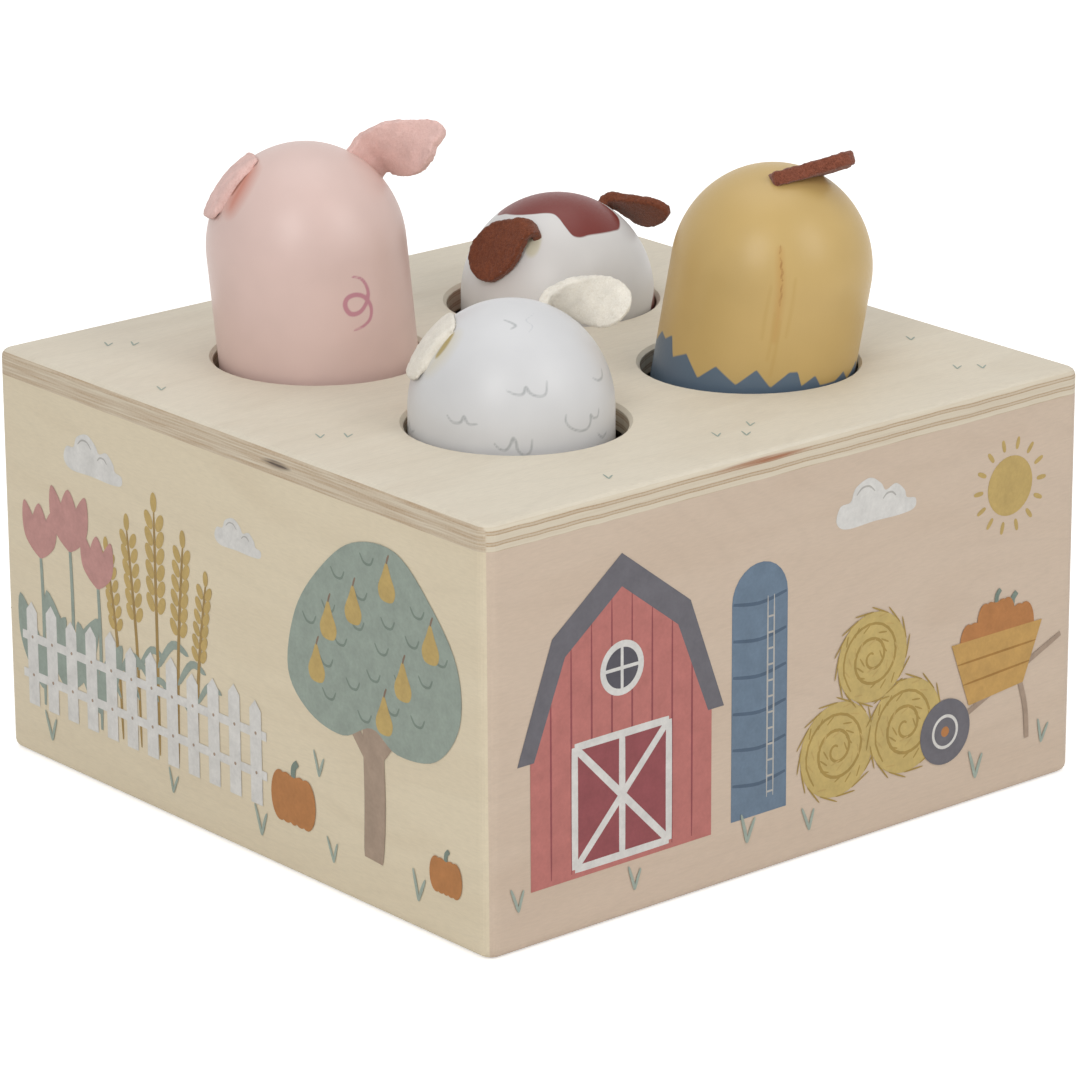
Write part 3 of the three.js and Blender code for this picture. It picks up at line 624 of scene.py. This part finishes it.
# Each ear: the middle of its slot (degrees round from the face, and up), how far the slot is turned from
# upright, how far the felt folds over about the slot's line, its twist, its crease, and its outline
EARS = {
    "pig_ear_left": ((84.2, 45), -5, 92, 0, HUGGING, [
        (0, -4.7), (3.6, -5.0), (4.8, -6.8), (8, -7.5), (14, -7.4), (19, -6.2), (22.0, -2.6), (22.4, 0.8),
        (21.2, 4.4), (17, 7.0), (11, 7.6), (6.4, 7.5), (4.6, 6.9), (3.6, 5.1), (0, 4.7)]),
    "pig_ear_right": ((-99, 43), 13, 55, -91, LOOSE, [
        (0, -4.6), (4.4, -4.9), (7.5, -5.6), (10.6, -5.9), (14.5, -5.9), (18.0, -5.3), (20.9, -3.7),
        (21.4, -1.9), (22.6, -0.8), (23.2, 1.3), (21.3, 3.5), (16.9, 4.4), (11.9, 5.5), (8.2, 5.5),
        (4.4, 5.3), (0, 4.8)]),
    "cow_ear_left": ((105, 47), 33, 115, -13, SHARP, [
        (0, -1.0), (4.6, -0.4), (6.9, -0.6), (9.2, -1.8), (11.2, -3.2), (14, -3.9), (16.9, -3.8),
        (19.3, -2.8), (20.9, -0.2), (20.3, 3.4), (17.3, 6.2), (13, 6.9), (10.8, 6.3), (7.3, 4.4), (4.6, 2.8),
        (0, 2.2)]),
    "cow_ear_right": ((-107, 50), 23, 82, -24, SHARP, [
        (0, -2.2), (4.6, -2.4), (7.6, -4.4), (10.7, -6.2), (14.6, -4.8), (18, -1.6), (19.2, 0.8), (18.4, 2.4),
        (15.6, 3.4), (11.2, 3.0), (7.6, 2.4), (4.6, 2.2), (0, 2.2)]),
    "sheep_ear_left": ((66.2, 39.5), -5, 92, 0, HUGGING, [
        (0, -4.4), (3.6, -4.6), (4.8, -6.8), (8, -7.6), (14, -7.2), (18, -5.8), (20.6, -2.6), (20.8, 0.6),
        (19.4, 3.8), (16, 6.0), (11, 6.8), (6.4, 6.2), (4.6, 5.4), (3.6, 4.4), (0, 4.4)]),
    "sheep_ear_right": ((-75, 49), 25, 70, -103, LOOSE, [
        (0, -2.0), (5.0, -1.8), (8.8, -3.3), (13, -5.2), (16.6, -6.0), (19.4, -5.4), (21.8, -3.2),
        (22.4, -0.8), (21.8, 1.4), (19.6, 3.2), (16.6, 3.8), (10.1, 3.8), (5.0, 1.9), (0, 2.0)]),
}
# The comb: where its lower edge starts, in millimetres from the dome's centre, and how far it tilts and nods
COMB_START, COMB_TILT, COMB_NOD = (-3.2, 3.25, 17.5), 25, 20


def felt_parts():
    felts = {
        "pig": wool_felt("pink_wool_felt", "f2cec6", "e2b8af"),
        "cow": wool_felt("brown_wool_felt", "8a4e34", "5c3021"),
        "sheep": wool_felt("cream_wool_felt", "f4efe4", "e6decf"),
        "hen": wool_felt("russet_wool_felt", "9b5b45", "643628"),
    }
    for seed, (name, (root, turned, fold, twist, crease, outline)) in enumerate(EARS.items()):
        animal = name.split("_")[0]
        out = pointing(*root)
        seat = Vector((out.x * PEG_RADIUS, out.y * PEG_RADIUS, out.z * DOME_HEIGHT))
        across = Matrix.Rotation(math.radians(turned), 3, out) @ pointing(root[0], root[1] + 90)
        bm = felt_blank(rounded(outline), crease[3])
        bend_felt(bm, seat, out, across, -across, fold, crease, twist)
        fuzz(bm, EAR_FUZZ, seed * 7.3)
        made = piece(name + "_felt", bm, felts[animal], f"{animal}_head", head_frame(animal))
        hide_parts(name)
    bm = felt_blank(rounded(COMB), COMB_THICKNESS)
    laid = Matrix.Rotation(math.radians(COMB_NOD), 3, "Y") @ Matrix.Rotation(math.radians(-COMB_TILT), 3, "X")
    rise, forward = laid @ Vector((0, -1, 0)), laid @ Vector((1, 0, 0))
    bend_felt(bm, Vector(COMB_START) + rise * FELT_ROOT, rise, forward, forward, 0, LOOSE)
    fuzz(bm, COMB_FUZZ, 61.0)
    made = piece("hen_comb_felt", bm, felts["hen"], "hen_head", head_frame("hen"))
    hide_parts("hen_comb")


# ---- the printed farm

INK = {
    "red": "b36f69", "dark_red": "8b494d", "charcoal": "66646a", "dark_charcoal": "4f4d55", "white": "d2d0cc",
    "grey": "aeaba6", "hay": "bda669", "dark_hay": "a08648", "ochre": "bb9456", "dark_ochre": "9c7339",
    "teal": "66788a", "dark_teal": "4c5d70", "orange": "ad7544", "dark_orange": "8f5c35", "leaf": "8f9a90",
    "dark_leaf": "748177", "brown": "9f8b7a", "dark_brown": "7f6b5c", "yellow": "b79d62",
    "dark_yellow": "9a7f4c", "rose": "b98a84", "dark_rose": "996761", "tick": "9aa69b",
}
EDGES = {"white": "grey", "dark_red": "red", "dark_charcoal": "charcoal"}    # the other inks have a dark one


def polar(u, v, radius, angle):
    return u + radius * math.cos(angle), v + radius * math.sin(angle)


def placed(points, u, v, wide=1.0, high=None, turn=0.0):
    """Points about (0, 0), in units of a width and a height, turned by degrees and moved to (u, v)."""
    c, s, high = math.cos(math.radians(turn)), math.sin(math.radians(turn)), high or wide
    return [(u + x * wide * c - y * high * s, v + x * wide * s + y * high * c) for x, y in points]


def oval(u, v, half_width, half_height=None, turn=0.0, steps=36):
    circle = [polar(0, 0, 1, 2 * math.pi * i / steps) for i in range(steps)]
    return placed(circle, u, v, half_width, half_height, turn)


def brush(path, width, taper, steps):
    """The outline of a brush stroke along a path, thinner at its ends."""
    if len(path) == 2:    # a straight stroke, thickest in its middle
        path = [path[0], np.mean(path, axis=0), path[1]]
    course = smooth_path(path, steps=steps)
    left, right = [], []
    for i, q in enumerate(course):
        d = course[min(i + 1, len(course) - 1)] - course[max(i - 1, 0)]
        d = d / max(np.linalg.norm(d), 1e-9)
        full = math.sin(math.pi * i / (len(course) - 1)) ** 0.5
        half = width / 2 * (taper + (1 - taper) * full)
        left.append((q[0] - d[1] * half, q[1] + d[0] * half))
        right.append((q[0] + d[1] * half, q[1] - d[0] * half))
    return left + right[::-1]


def lay(sheet, outline, ink, ring=0.0):
    """Adds a printed shape to a sheet: its ink, and a soft edge of the ring's width in another ink."""
    sheet.append((outline, ink, EDGES.get(ink, "dark_" + ink) if ring else ink, ring))


def stroke(sheet, path, width, ink, taper=0.4, ring=0.0, steps=5):
    lay(sheet, brush(path, width, taper, steps), ink, ring)


def tick(sheet, u, v, size, turn):
    for side, height in ((-1, 1.0), (1, 0.8)):
        blade = [(0, 0), (side * 0.12, 0.45 * height), (side * 0.3, height)]
        stroke(sheet, placed(blade, u, v, size, turn=turn), size * 0.13, "tick", 0.3)


def cloud(sheet, u, v, size):
    puffs = [(-1.5, -0.1), (-1.35, 0.35), (-0.95, 0.42), (-0.75, 0.8), (-0.2, 1.0), (0.25, 0.75), (0.45, 0.5),
             (0.85, 0.62), (1.2, 0.35), (1.3, 0.1), (1.65, 0.0), (1.6, -0.3), (1.0, -0.38), (0, -0.36),
             (-1.1, -0.38)]
    lay(sheet, rounded(placed(puffs, u, v, size)), "white", size * 0.1)
    for x, y, radius in ((-0.35, 0.35, 0.42), (0.6, 0.1, 0.3)):
        arc = [polar(x, y, radius, a) for a in (2.6, 1.9, 1.2, 0.5)]
        stroke(sheet, placed(arc, u, v, size), size * 0.06, "grey")


def barn(sheet, u, v, width, height):
    def drawn(*points):
        return placed(points, u, v, width, height)

    across, up = (0, 0.15, 0.5, 0.85, 1), (0.5, 0.78, 0.97, 0.78, 0.5)
    lay(sheet, drawn((0, 0), (1, 0), *list(zip(across, up))[::-1]), "red", width * 0.03)
    for i in range(1, 9):
        x, top = u + width * i / 9, height * np.interp(i / 9, across, up)
        stroke(sheet, [(x, v + 1), (x, v + top / 2), (x, v + top - 2)], 0.45, "dark_red")
    roof = [(-0.07, 0.43), (0.12, 0.82), (0.5, 1.04), (0.88, 0.82), (1.07, 0.43),
            (0.98, 0.43), (0.81, 0.75), (0.5, 0.93), (0.19, 0.75), (0.02, 0.43)]
    lay(sheet, drawn(*roof), "charcoal", width * 0.012)
    a, b, c, d = door = [(0.24, 0.03), (0.76, 0.03), (0.76, 0.44), (0.24, 0.44)]
    lay(sheet, drawn(*door), "dark_red", 1.4)
    for start, end in ((a, d), (b, c), (d, c), (a, b), (a, c), (d, b), ((0.5, 0.03), (0.5, 0.44))):
        stroke(sheet, drawn(start, end), width * 0.035, "white", 0.9, 0.3)
    x, y, pane = u + width / 2, v + 0.66 * height, width * 0.09
    lay(sheet, oval(x, y, width * 0.12), "white", 0.5)
    lay(sheet, oval(x, y, pane), "dark_charcoal", 0.8)
    for dx, dy in ((pane, 0), (0, pane)):
        stroke(sheet, [(x - dx, y - dy), (x + dx, y + dy)], 0.7, "white", 0.9)


def silo(sheet, u, v, width, height):
    radius, wall = width / 2, height - width / 2
    dome = [polar(radius, wall, radius, a) for a in np.linspace(0, math.pi, 14)]
    lay(sheet, placed([(0, 0), (width, 0)] + dome, u, v), "teal", width * 0.1)
    for i in range(1, 7):
        y = v + wall * i / 6
        hoop = [(u + 0.3, y), (u + radius, y - width * 0.07), (u + width - 0.3, y)]
        stroke(sheet, hoop, 0.7, "dark_teal", 0.7)
    left, right = u + width * 0.7 - 0.8, u + width * 0.7 + 0.8
    for x in (left, right):
        stroke(sheet, [(x, v + 3), (x, v + height / 2), (x, v + wall)], 0.4, "grey")
    for i in range(12):
        y = v + 4 + i * (wall - 5) / 12
        stroke(sheet, [(left, y), (right, y)], 0.4, "grey", 0.8)


def bale(sheet, u, v, radius):
    lay(sheet, oval(u, v, radius), "hay", radius * 0.12)
    spiral = [polar(u, v, radius * 0.88 * t / 30, t * 0.55) for t in range(2, 31)]
    stroke(sheet, spiral, radius * 0.07, "dark_hay", 0.5, steps=2)
    for i in range(26):
        x, y = polar(u, v, radius * (0.25 + 0.7 * (i * 7 % 26) / 26), i * 2.4)
        dx, dy = polar(0, 0, radius * 0.12, i * 2.4 + 0.4 + math.pi / 2)
        stroke(sheet, [(x - dx, y - dy), (x + dx, y + dy)], 0.35, "yellow" if i % 2 else "dark_hay")
    for i in range(14):
        angle = i * 2 * math.pi / 14 + 0.2
        straw = [polar(u, v, radius, angle), polar(u, v, radius * 1.12, angle + 0.5)]
        stroke(sheet, straw, 0.35, "dark_hay", 0.2)


def pumpkin(sheet, u, v, radius):
    for x, wide in ((-0.62, 0.42), (0.62, 0.42), (-0.32, 0.45), (0.32, 0.45), (0, 0.36)):
        lay(sheet, oval(u + x * radius, v, wide * radius, radius * 0.78), "orange", radius * 0.12)
    stalk = placed([(0, 0.7), (0.04, 1), (0.22, 1.2)], u, v, radius)
    stroke(sheet, stalk, radius * 0.22, "dark_leaf", 0.8)


def barrow(sheet, u, v, size):
    def drawn(*points):
        return placed(points, u, v, size)

    for x, y, radius in ((0.42, 0.66, 0.15), (0.66, 0.68, 0.17), (0.54, 0.76, 0.14)):
        pumpkin(sheet, u + x * size, v + y * size, radius * size)
    stroke(sheet, drawn((0.1, 0.16), (0.5, 0.33), (1.05, 0.56)), size * 0.035, "brown", 0.8, 0.3)
    stroke(sheet, drawn((0.72, 0.4), (0.78, 0.2), (0.8, 0)), size * 0.035, "brown", 0.9)
    lay(sheet, drawn((0.2, 0.68), (0.9, 0.68), (0.76, 0.34), (0.34, 0.3)), "ochre", size * 0.03)
    for share in (0.33, 0.66):
        ends = drawn((0.2 + 0.14 * share, 0.68 - 0.38 * share), (0.9 - 0.14 * share, 0.68 - 0.34 * share))
        stroke(sheet, ends, 0.5, "dark_ochre")
    x, y = drawn((0.16, 0.19))[0]
    for radius, ink, ring, steps in ((0.19, "charcoal", size * 0.035, 48), (0.1, "white", 0.0, 36),
                                     (0.082, "charcoal", 0.0, 36), (0.03, "orange", 0.0, 36)):
        lay(sheet, oval(x, y, radius * size, steps=steps), ink, ring)


def leaf(sheet, u, v, length, turn):
    blade = [(0, 0), (0.3, 0.16), (0.65, 0.17), (1, 0), (0.65, -0.13), (0.3, -0.14)]
    lay(sheet, rounded(placed(blade, u, v, length, turn=turn), 4), "leaf", length * 0.035)


def tree(sheet, u, v, size):
    def drawn(*points):
        return placed(points, u, v, size)

    stroke(sheet, drawn((0, 0), (0.01, 0.2), (0, 0.5)), size * 0.1, "brown", 0.85, size * 0.014)
    for side in (-1, 1):
        stroke(sheet, drawn((0, 0.3), (side * 0.1, 0.42), (side * 0.17, 0.52)), size * 0.045, "brown", 0.6)
    crown = [(-0.4, 0.5), (-0.36, 0.7), (-0.24, 0.86), (-0.08, 0.98), (0.12, 1.0), (0.28, 0.88), (0.4, 0.72),
             (0.41, 0.54), (0.3, 0.4), (0.12, 0.37), (0, 0.42), (-0.14, 0.36), (-0.3, 0.39)]
    lay(sheet, rounded(drawn(*crown)), "leaf", size * 0.025)
    for i in range(22):
        out = 0.33 * math.sqrt((i + 0.5) / 22)
        x, y = out * math.cos(i * 2.4), 0.68 + 0.85 * out * math.sin(i * 2.4)
        arc = drawn((x - 0.03, y + 0.015), (x - 0.01, y - 0.01), (x + 0.02, y - 0.01), (x + 0.035, y + 0.015))
        stroke(sheet, arc, 0.5, "dark_leaf")
    pear = [(0, 0.07), (0.02, 0.03), (0.04, -0.015), (0.025, -0.05), (-0.025, -0.05), (-0.04, -0.015),
            (-0.02, 0.03)]
    stalk = [(0, 0.065), (0.005, 0.08), (0.012, 0.095)]
    for x, y in drawn((-0.26, 0.55), (-0.08, 0.78), (0.15, 0.6), (0.28, 0.75), (-0.2, 0.7), (0.06, 0.47),
                      (0.08, 0.89)):
        lay(sheet, rounded(placed(pear, x, y, size), 4), "yellow", size * 0.008)
        stroke(sheet, placed(stalk, x, y, size), 0.5, "dark_brown")


def fence(sheet, start, end, v, height, count):
    rails = (v + height * 0.3, v + height * 0.68)
    for y in rails:
        stroke(sheet, [(start, y), (end, y)], height * 0.09, "white", 0.95, 0.35)
    pitch = (end - start) / count
    half = pitch * 0.27
    for i in range(count):
        x = start + pitch * (i + 0.5)
        top = v + height * (0.94 + 0.04 * math.sin(i * 2.1))
        picket = [(x - half, v), (x + half, v), (x + half, top), (x, top + half * 1.1), (x - half, top)]
        lay(sheet, picket, "white", half * 0.35)
        for y in rails:
            lay(sheet, oval(x, y, 0.35, steps=10), "brown")


def wheat(sheet, u, v, height, bend):
    def stem(share):
        return u + bend * share * share, v + height * share

    def grain(x, y, half_thick, turn):
        lay(sheet, oval(x, y, height * 0.04, half_thick, turn, 20), "yellow", height * 0.007)

    stroke(sheet, [stem(0), stem(0.5), stem(1)], 0.9, "dark_yellow")
    for i in range(6):
        x, y = stem(0.6 + 0.4 * i / 6)
        for side in (-1, 1):
            grain(x + side * height * 0.035, y + height * 0.02, height * 0.022, 90 - side * 28)
    x, y = stem(1)
    grain(x, y + height * 0.03, height * 0.02, 90)
    for side, share in ((-1, 0.22), (1, 0.36)):
        blade = placed([(0, 0), (side * 0.1, 0.12), (side * 0.2, 0.1)], *stem(share), height)
        stroke(sheet, blade, height * 0.035, "leaf", 0.1)


def tulip(sheet, u, v, height):
    stroke(sheet, [(u, v), (u + 0.4, v + height / 2), (u, v + height * 0.8)], 1.0, "leaf", 0.7)
    leaf(sheet, u, v + height * 0.08, height * 0.5, 112)
    leaf(sheet, u, v + height * 0.14, height * 0.42, 62)
    width = height * 0.15
    outer = [(0, -0.05), (0.75, 0.4), (0.95, 1.1), (0.8, 1.75), (0.2, 1.0)]
    middle = [(0, -0.1), (0.5, 0.4), (0.45, 1.1), (0, 1.8), (-0.45, 1.1), (-0.5, 0.4)]
    for petal, wide in ((outer, -width), (outer, width), (middle, width)):
        lay(sheet, rounded(placed(petal, u, v + height * 0.78, wide, width), 5), "rose", width * 0.12)


def sun(sheet, u, v, radius):
    for i in range(14):
        ray = [polar(u, v, radius * k, 2 * math.pi * i / 14) for k in (1.2, 1.4, 1.62)]
        stroke(sheet, ray, radius * 0.16, "yellow", 0.2)
    lay(sheet, oval(u, v, radius), "yellow", radius * 0.1)


LID_TICKS = [(-64, -14, 4), (-60, -17, -3), (-8, -62, 5), (-3.5, -65, 0), (1, -61, -5), (60, -8, 3),
             (64, -5, 0), (56, -60, -4), (60, -63, 2), (-2, 4, 0), (3, 0, 5), (-58, 61, 0), (-54, 58, -4),
             (6, 66, 3), (66, 44, -3), (-40, -68, 4), (63, -40, 0), (-68, 30, 3)]
# Each side: its origin in millimetres, the directions in which its drawings go across and up, and its drawings
# in the order of printing, each with its places and sizes
SIDES = {
    "front": ((0, -BOX_HALF, 0), (1, 0, 0), (0, 0, 1), [
        (cloud, (20, 66, 6.5)), (sun, (56, 63, 6)), (silo, (-16, 12, 14, 50)), (barn, (-65, 11, 44, 58)),
        (bale, (11, 20, 9.5), (29, 20.5, 9.5), (20, 36.5, 9)), (barrow, (34, 10, 35)),
        (tick, (-68, 8, 5, 4), (-12, 7, 6, -3), (4, 5.5, 5, 5), (48, 5, 6, 0), (66, 8, 5, -6),
         (-40, 5, 5, 0))]),
    "left": ((-BOX_HALF, 0, 0), (0, -1, 0), (0, 0, 1), [
        (cloud, (-44, 66, 6), (2, 62, 4.5)),
        (wheat, (-30, 12, 44, -3), (-24, 12, 50, 0), (-18, 12, 45, 3), (-36, 12, 38, -4), (-12, 12, 39, 4)),
        (tulip, (-62, 12, 40), (-52, 12, 45), (-43, 12, 38)), (fence, (-69, 10, 11, 21, 12)),
        (tree, (42, 10, 62)), (pumpkin, (18, 15, 6.5), (63, 13, 4.5)),
        (tick, (-60, 5, 6, 3), (-20, 5.5, 5, -4), (8, 5, 6, 2), (30, 6, 5, 5), (55, 6, 6, -3),
         (26, 22, 5, 0))]),
    "right": ((BOX_HALF, 0, 0), (0, 1, 0), (0, 0, 1), [
        (cloud, (-30, 62, 7), (40, 66, 5)), (tulip, (-56, 12, 38), (-46, 12, 45), (-36, 12, 40)),
        (fence, (4, 66, 12, 24, 9)), (pumpkin, (-8, 17, 8)),
        (tick, (-64, 7, 6, 3), (-22, 6, 5, -4), (16, 6, 6, 2), (52, 6, 5, 5))]),
    "back": ((0, BOX_HALF, 0), (-1, 0, 0), (0, 0, 1), [
        (sun, (-48, 60, 8)), (cloud, (28, 64, 6)), (tree, (-30, 11, 46)),
        (bale, (14, 20, 9), (32, 20, 9), (23, 35, 8.5)),
        (wheat, (54, 12, 38, -2), (60, 12, 42, 1), (66, 12, 36, 3)),
        (tick, (-62, 7, 6, 3), (-6, 6, 5, -4), (44, 6, 6, 2))]),
    "lid": ((0, 0, BOX_TOP), (1, 0, 0), (0, 1, 0), [
        (tick, *[(u, v, 2.8, turn - 40) for u, v, turn in LID_TICKS])]),
}
PRINT_LIFT, LAYER_LIFT = 0.03, 0.0006    # how far the first shape stands off the wood, and each one after it


def print_side(name, origin, across, up, drawings, material):
    """Prints drawings on a flat face, each shape a hair above the one before it."""
    sheet = []
    for draw, *places in drawings:
        for place in places:
            draw(sheet, *place)
    bm = bmesh.new()
    ink_layer = bm.verts.layers.float_color.new("ink")
    for level, (outline, ink, edge, ring) in enumerate(sheet):
        outer, inner = linear(INK[edge]), linear(INK[ink])
        face = bm.faces.new([bm.verts.new((u, v, PRINT_LIFT + LAYER_LIFT * level)) for u, v in outline])
        for vert in face.verts:
            vert[ink_layer] = outer
        for share in ((0.45, 1.0) if ring else ()):
            bmesh.ops.inset_region(bm, faces=[face], thickness=ring * 0.5, use_even_offset=True)
            for vert in face.verts:
                vert[ink_layer] = [a + (b - a) * share for a, b in zip(outer, inner)]
    across, up = Vector(across), Vector(up)
    axes = Matrix((across, up, across.cross(up))).transposed().to_4x4()
    made = piece(name, bm, material, "box", Matrix.Translation(Vector(origin) * MM) @ axes)
    made.data.shade_flat()


def print_farm():
    ink = printed_ink("matt_ink_on_birch_veneer")
    for side, layout in SIDES.items():
        print_side(side + "_print", *layout, ink)


# ---- camera, lamps and floor

# The camera: degrees round from the front, up and rolled; the point it looks at (mm); how far it is away (m)
CAMERA_TURN, CAMERA_TARGET, CAMERA_DISTANCE = (-40.2488, 18.4429, -0.31216), (8.373, 8.555, 41.5), 1.10254
LAMP_TARGET = (0, 0, 0.07)


def set_camera():
    azimuth, elevation, roll = CAMERA_TURN
    back = pointing(azimuth - 90, elevation)
    right = back.cross(Vector((0, 0, -1))).normalized()
    up = back.cross(right)
    rolled = Matrix.Rotation(math.radians(roll), 3, back)
    axes = Matrix((rolled @ right, rolled @ up, back)).transposed()
    camera = new_object("photo_camera", bpy.data.cameras.new("photo_camera"))
    place = Vector(CAMERA_TARGET) * MM + back * CAMERA_DISTANCE
    camera.matrix_world = Matrix.Translation(place) @ axes.to_4x4()
    camera.data.sensor_width, camera.data.lens = 36, 184.72
    camera.data.clip_start, camera.data.clip_end = 0.05, 20
    scene.camera = camera


def seen_directly(tree):
    """One for rays that the camera sees straight on or in a reflection, and the light path."""
    path = add(tree, "LightPath").outputs
    return math_node(tree, "MAXIMUM", path["Is Camera Ray"], path["Is Glossy Ray"]), path


def softbox(name, place, size, power):
    lamp = bpy.data.lights.new(name, "AREA")
    lamp.shape, lamp.size, lamp.size_y, lamp.energy = "RECTANGLE", size[0], size[1], power
    aim = (Vector(LAMP_TARGET) - Vector(place)).to_track_quat("-Z", "Y").to_matrix().to_4x4()
    new_object(name, lamp).matrix_world = Matrix.Translation(place) @ aim


def light_scene():
    """Three softboxes in a studio that is white to the eye, dimmer as a lamp."""
    world = bpy.data.worlds.new("white_studio")
    scene.world = world
    world.use_nodes = True
    tree = world.node_tree
    tree.nodes.clear()
    seen, path = seen_directly(tree)
    seen = math_node(tree, "MAXIMUM", seen, path["Is Transmission Ray"])
    dim, white = (add(tree, "Background", {"Color": (1, 1, 1, 1), "Strength": s}) for s in (0.5, 1.0))
    mixed = add(tree, "MixShader", {0: seen, 1: dim.outputs[0], 2: white.outputs[0]})
    add(tree, "OutputWorld", {"Surface": mixed.outputs[0]})
    softbox("left_softbox", (-0.95, -0.55, 0.75), (0.5, 0.7), 4.6)
    softbox("right_softbox", (0.25, -1.05, 0.75), (0.5, 0.7), 3.35)
    softbox("overhead_softbox", (0.1, 0.2, 1.3), (1.0, 1.0), 3.6)


def lay_floor():
    """White paper that is brighter in the picture than as a lamp."""
    bm = bmesh.new()
    bmesh.ops.create_grid(bm, x_segments=1, y_segments=1, size=6)
    mesh = bpy.data.meshes.new("studio_floor")
    bm.to_mesh(mesh)
    bm.free()
    floor = new_object("studio_floor", mesh)
    floor.location.z = -0.0002
    material = new_material("white_paper_floor")
    tree = material.node_tree
    seen, _ = seen_directly(tree)
    paper = add(tree, "BsdfDiffuse", {"Color": linear("f3f2f0")})
    glow = add(tree, "Emission", {"Color": (1, 1, 1, 1), "Strength": times(tree, seen, 0.5)})
    both = add(tree, "AddShader", {0: paper.outputs[0], 1: glow.outputs[0]})
    add(tree, "OutputMaterial", {"Surface": both.outputs[0]})
    mesh.materials.append(material)


# ---- finishes on the CAD's own parts

def finish_box():
    finishes = {}
    for side, along, tint in (("front", "X", "cab7a4"), ("back", "X", "cfc4b0"),
                              ("left", "Y", "d8cbb1"), ("right", "Y", "d0c2ae")):
        finishes[f"wall_{side}"] = birch_wall(f"birch_veneer_{side}", along, tint)
    finishes["lid"] = birch_plywood_lid("birch_plywood_lid")
    finishes["rocker"] = finishes["base_plate"] = bare_wood("rough_birch_plywood", "d0c0a2", "c0ad8c", "X")
    finishes["axle_post"] = beech = bare_wood("bare_turned_beech", "cba678", "b98f60", "Z")
    finishes["corner_block"] = bare_wood("sawn_pine", "dcc08e", "c9a36a", "Z")
    finishes["base_screw"] = finishes["washer"] = finishes["axle"] = zinc_plated_steel("zinc_plated_steel")
    for name, node in frame["nodes"].items():
        material = next((finish for start, finish in finishes.items() if name.startswith(start)), beech)
        node.data.materials.clear()
        node.data.materials.append(material)


set_camera()
light_scene()
lay_floor()
finish_box()
paint_animals()
felt_parts()
print_farm()
